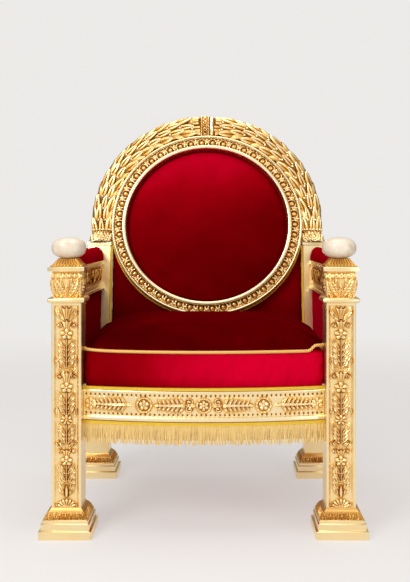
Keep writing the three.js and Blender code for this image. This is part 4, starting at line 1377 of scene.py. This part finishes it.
def seat_piping():
    """Twisted cord on the seam. It steps up at the right front corner, and along the sides it is
    tucked under the crown."""
    plan = seat_outline(-1.0, 900)
    x, y = plan[:, 0], plan[:, 1]
    step = 1 / (1 + np.exp(-(x - 292) / 3.5))
    tucked = smooth_step(FRONT_Y + 2, FRONT_Y + 40, y)
    left = np.exp(-(x + SEAT_HALF) / 30)
    z = SEAT_SEAM + 0.5 + 15 * step * (1 - tucked) + 5 * left * (1 - tucked) - 12 * tucked
    plan = SEAT_CENTRE + (plan - SEAT_CENTRE) * (1 - 0.022 * tucked)[:, None]
    path = even_path(np.column_stack([plan, z])[np.r_[0:len(plan), 0]], 2.0)[:-1]
    radius, lay = 4.0, 7.0
    ahead = np.roll(path, -1, 0) - np.roll(path, 1, 0)
    ahead /= np.linalg.norm(ahead, axis=1, keepdims=True)
    aside = np.cross(ahead, (0, 0, 1.0))
    aside /= np.linalg.norm(aside, axis=1, keepdims=True)
    up = np.cross(aside, ahead)
    a = around(10)
    lobe = np.cos(2 * a - lengths_along(path)[:, None] * 2 * PI / lay)
    r = radius * (1 + 0.2 * lobe)
    out = aside[:, None] * (r * np.cos(a))[..., None] + up[:, None] * (r * np.sin(a))[..., None]
    # Painted shade in the grooves of the twist.
    return single(path[:, None] + out, out, "seat_piping_cord", "braid", ["seat_piping"], (True, True),
                  hollow=np.clip(0.4 - 0.5 * lobe, 0, 1), sharp=60, look="piping")


def stile_gimp(side, word):
    """Braid down the inner edge of a leaning stile's front."""
    path = raked(grid(side * (POST_X - POST_HALF - 3.5), 6.0, np.linspace(2, 380, 250)))
    out = raked((0, -1, 0)) - raked((0, 0, 0))
    points, hollow = braid_strip(path, (1, 0, 0), out, 8.0, 4.0)
    return single(points, (0, -1, 0), f"stile_gimp_{word}", "braid", hollow=hollow)


def ring_gimp():
    """Braid round the outside of the ring, where it meets the velvet."""
    a = np.linspace(math.radians(158), math.radians(382), 620)
    across = grid(np.cos(a), 0, np.sin(a))
    points, hollow = braid_strip(polar(RING_OUTER + 3.0, 8.0, a), across, (0, -1, 0), 5.5, 3.0)
    return single(points, (0, -1, 0), "ring_gimp", "braid", hollow=hollow, place=raked)


def ball(name, node):
    """A flattened ball, squarer than an ellipsoid."""
    low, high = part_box(node)
    centre = np.array((low + high) / 2 / MM)
    v = np.linspace(0.03, PI - 0.03, 40)[:, None]
    u = around(64)
    power, radius, half_height = 2 / 2.35, 46.4, 29
    r = radius * np.abs(np.sin(v)) ** power
    z = half_height * np.sign(np.cos(v)) * np.abs(np.cos(v)) ** power
    points = centre + grid(r * np.cos(u), r * np.sin(u), z)
    return single(points, points - centre, name, "ivory", [node], (False, True), True, sharp=180)


# ---------- The throne ----------


def under_front_rail(t):
    """x and y of the front fringe's line, for t from 0 to 1."""
    x = BOW_HALF * (2 * t - 1)
    return x, float(bow(x, -1))


for row in frame["record"]["subparts"]:
    node = frame["nodes"][row["node"]]
    node.data.materials.clear()
    node.data.materials.append(LOOKS[row["material_slot"]])

for side, word in ((-1, "left"), (1, "right")):
    front_post(side * POST_X, f"front_post_{word}_carved", f"front_post_{word}")
    back_post(side * POST_X, f"back_post_{word}_carved", f"back_post_{word}")
    arm_rail(side, f"arm_rail_{word}_carved", f"arm_rail_{word}")
    side_rail(side, f"seat_rail_{word}_carved", f"seat_rail_{word}")
    arm_pad(side, f"arm_pad_{word}_velvet", f"arm_pad_{word}")
    side_panel(side, f"side_panel_{word}_velvet", f"side_panel_{word}")
    stile_gimp(side, word)
    ball(f"ball_{word}_polished", f"ball_{word}")
ring_frame()
laurel_arch()
front_rail()
back_rail()
seat_cushion()
medallion()
back_panel()
for side, word in ((-1, "left"), (1, "right")):
    fringe(f"fringe_{word}_bullion", f"fringe_{word}",
           lambda t, side=side: (side * (POST_X + 32.5), FRONT_Y + 41 + t * 483), 150, (side, 0))
ring_gimp()
seat_piping()
front_gimp("gimp_upper_woven", "gimp_upper", RAIL_TOP + 0.3)
front_gimp("gimp_lower_woven", "gimp_lower", RAIL_BOTTOM)
fringe("fringe_front_bullion", "fringe_front", under_front_rail, 215, (0, -1))
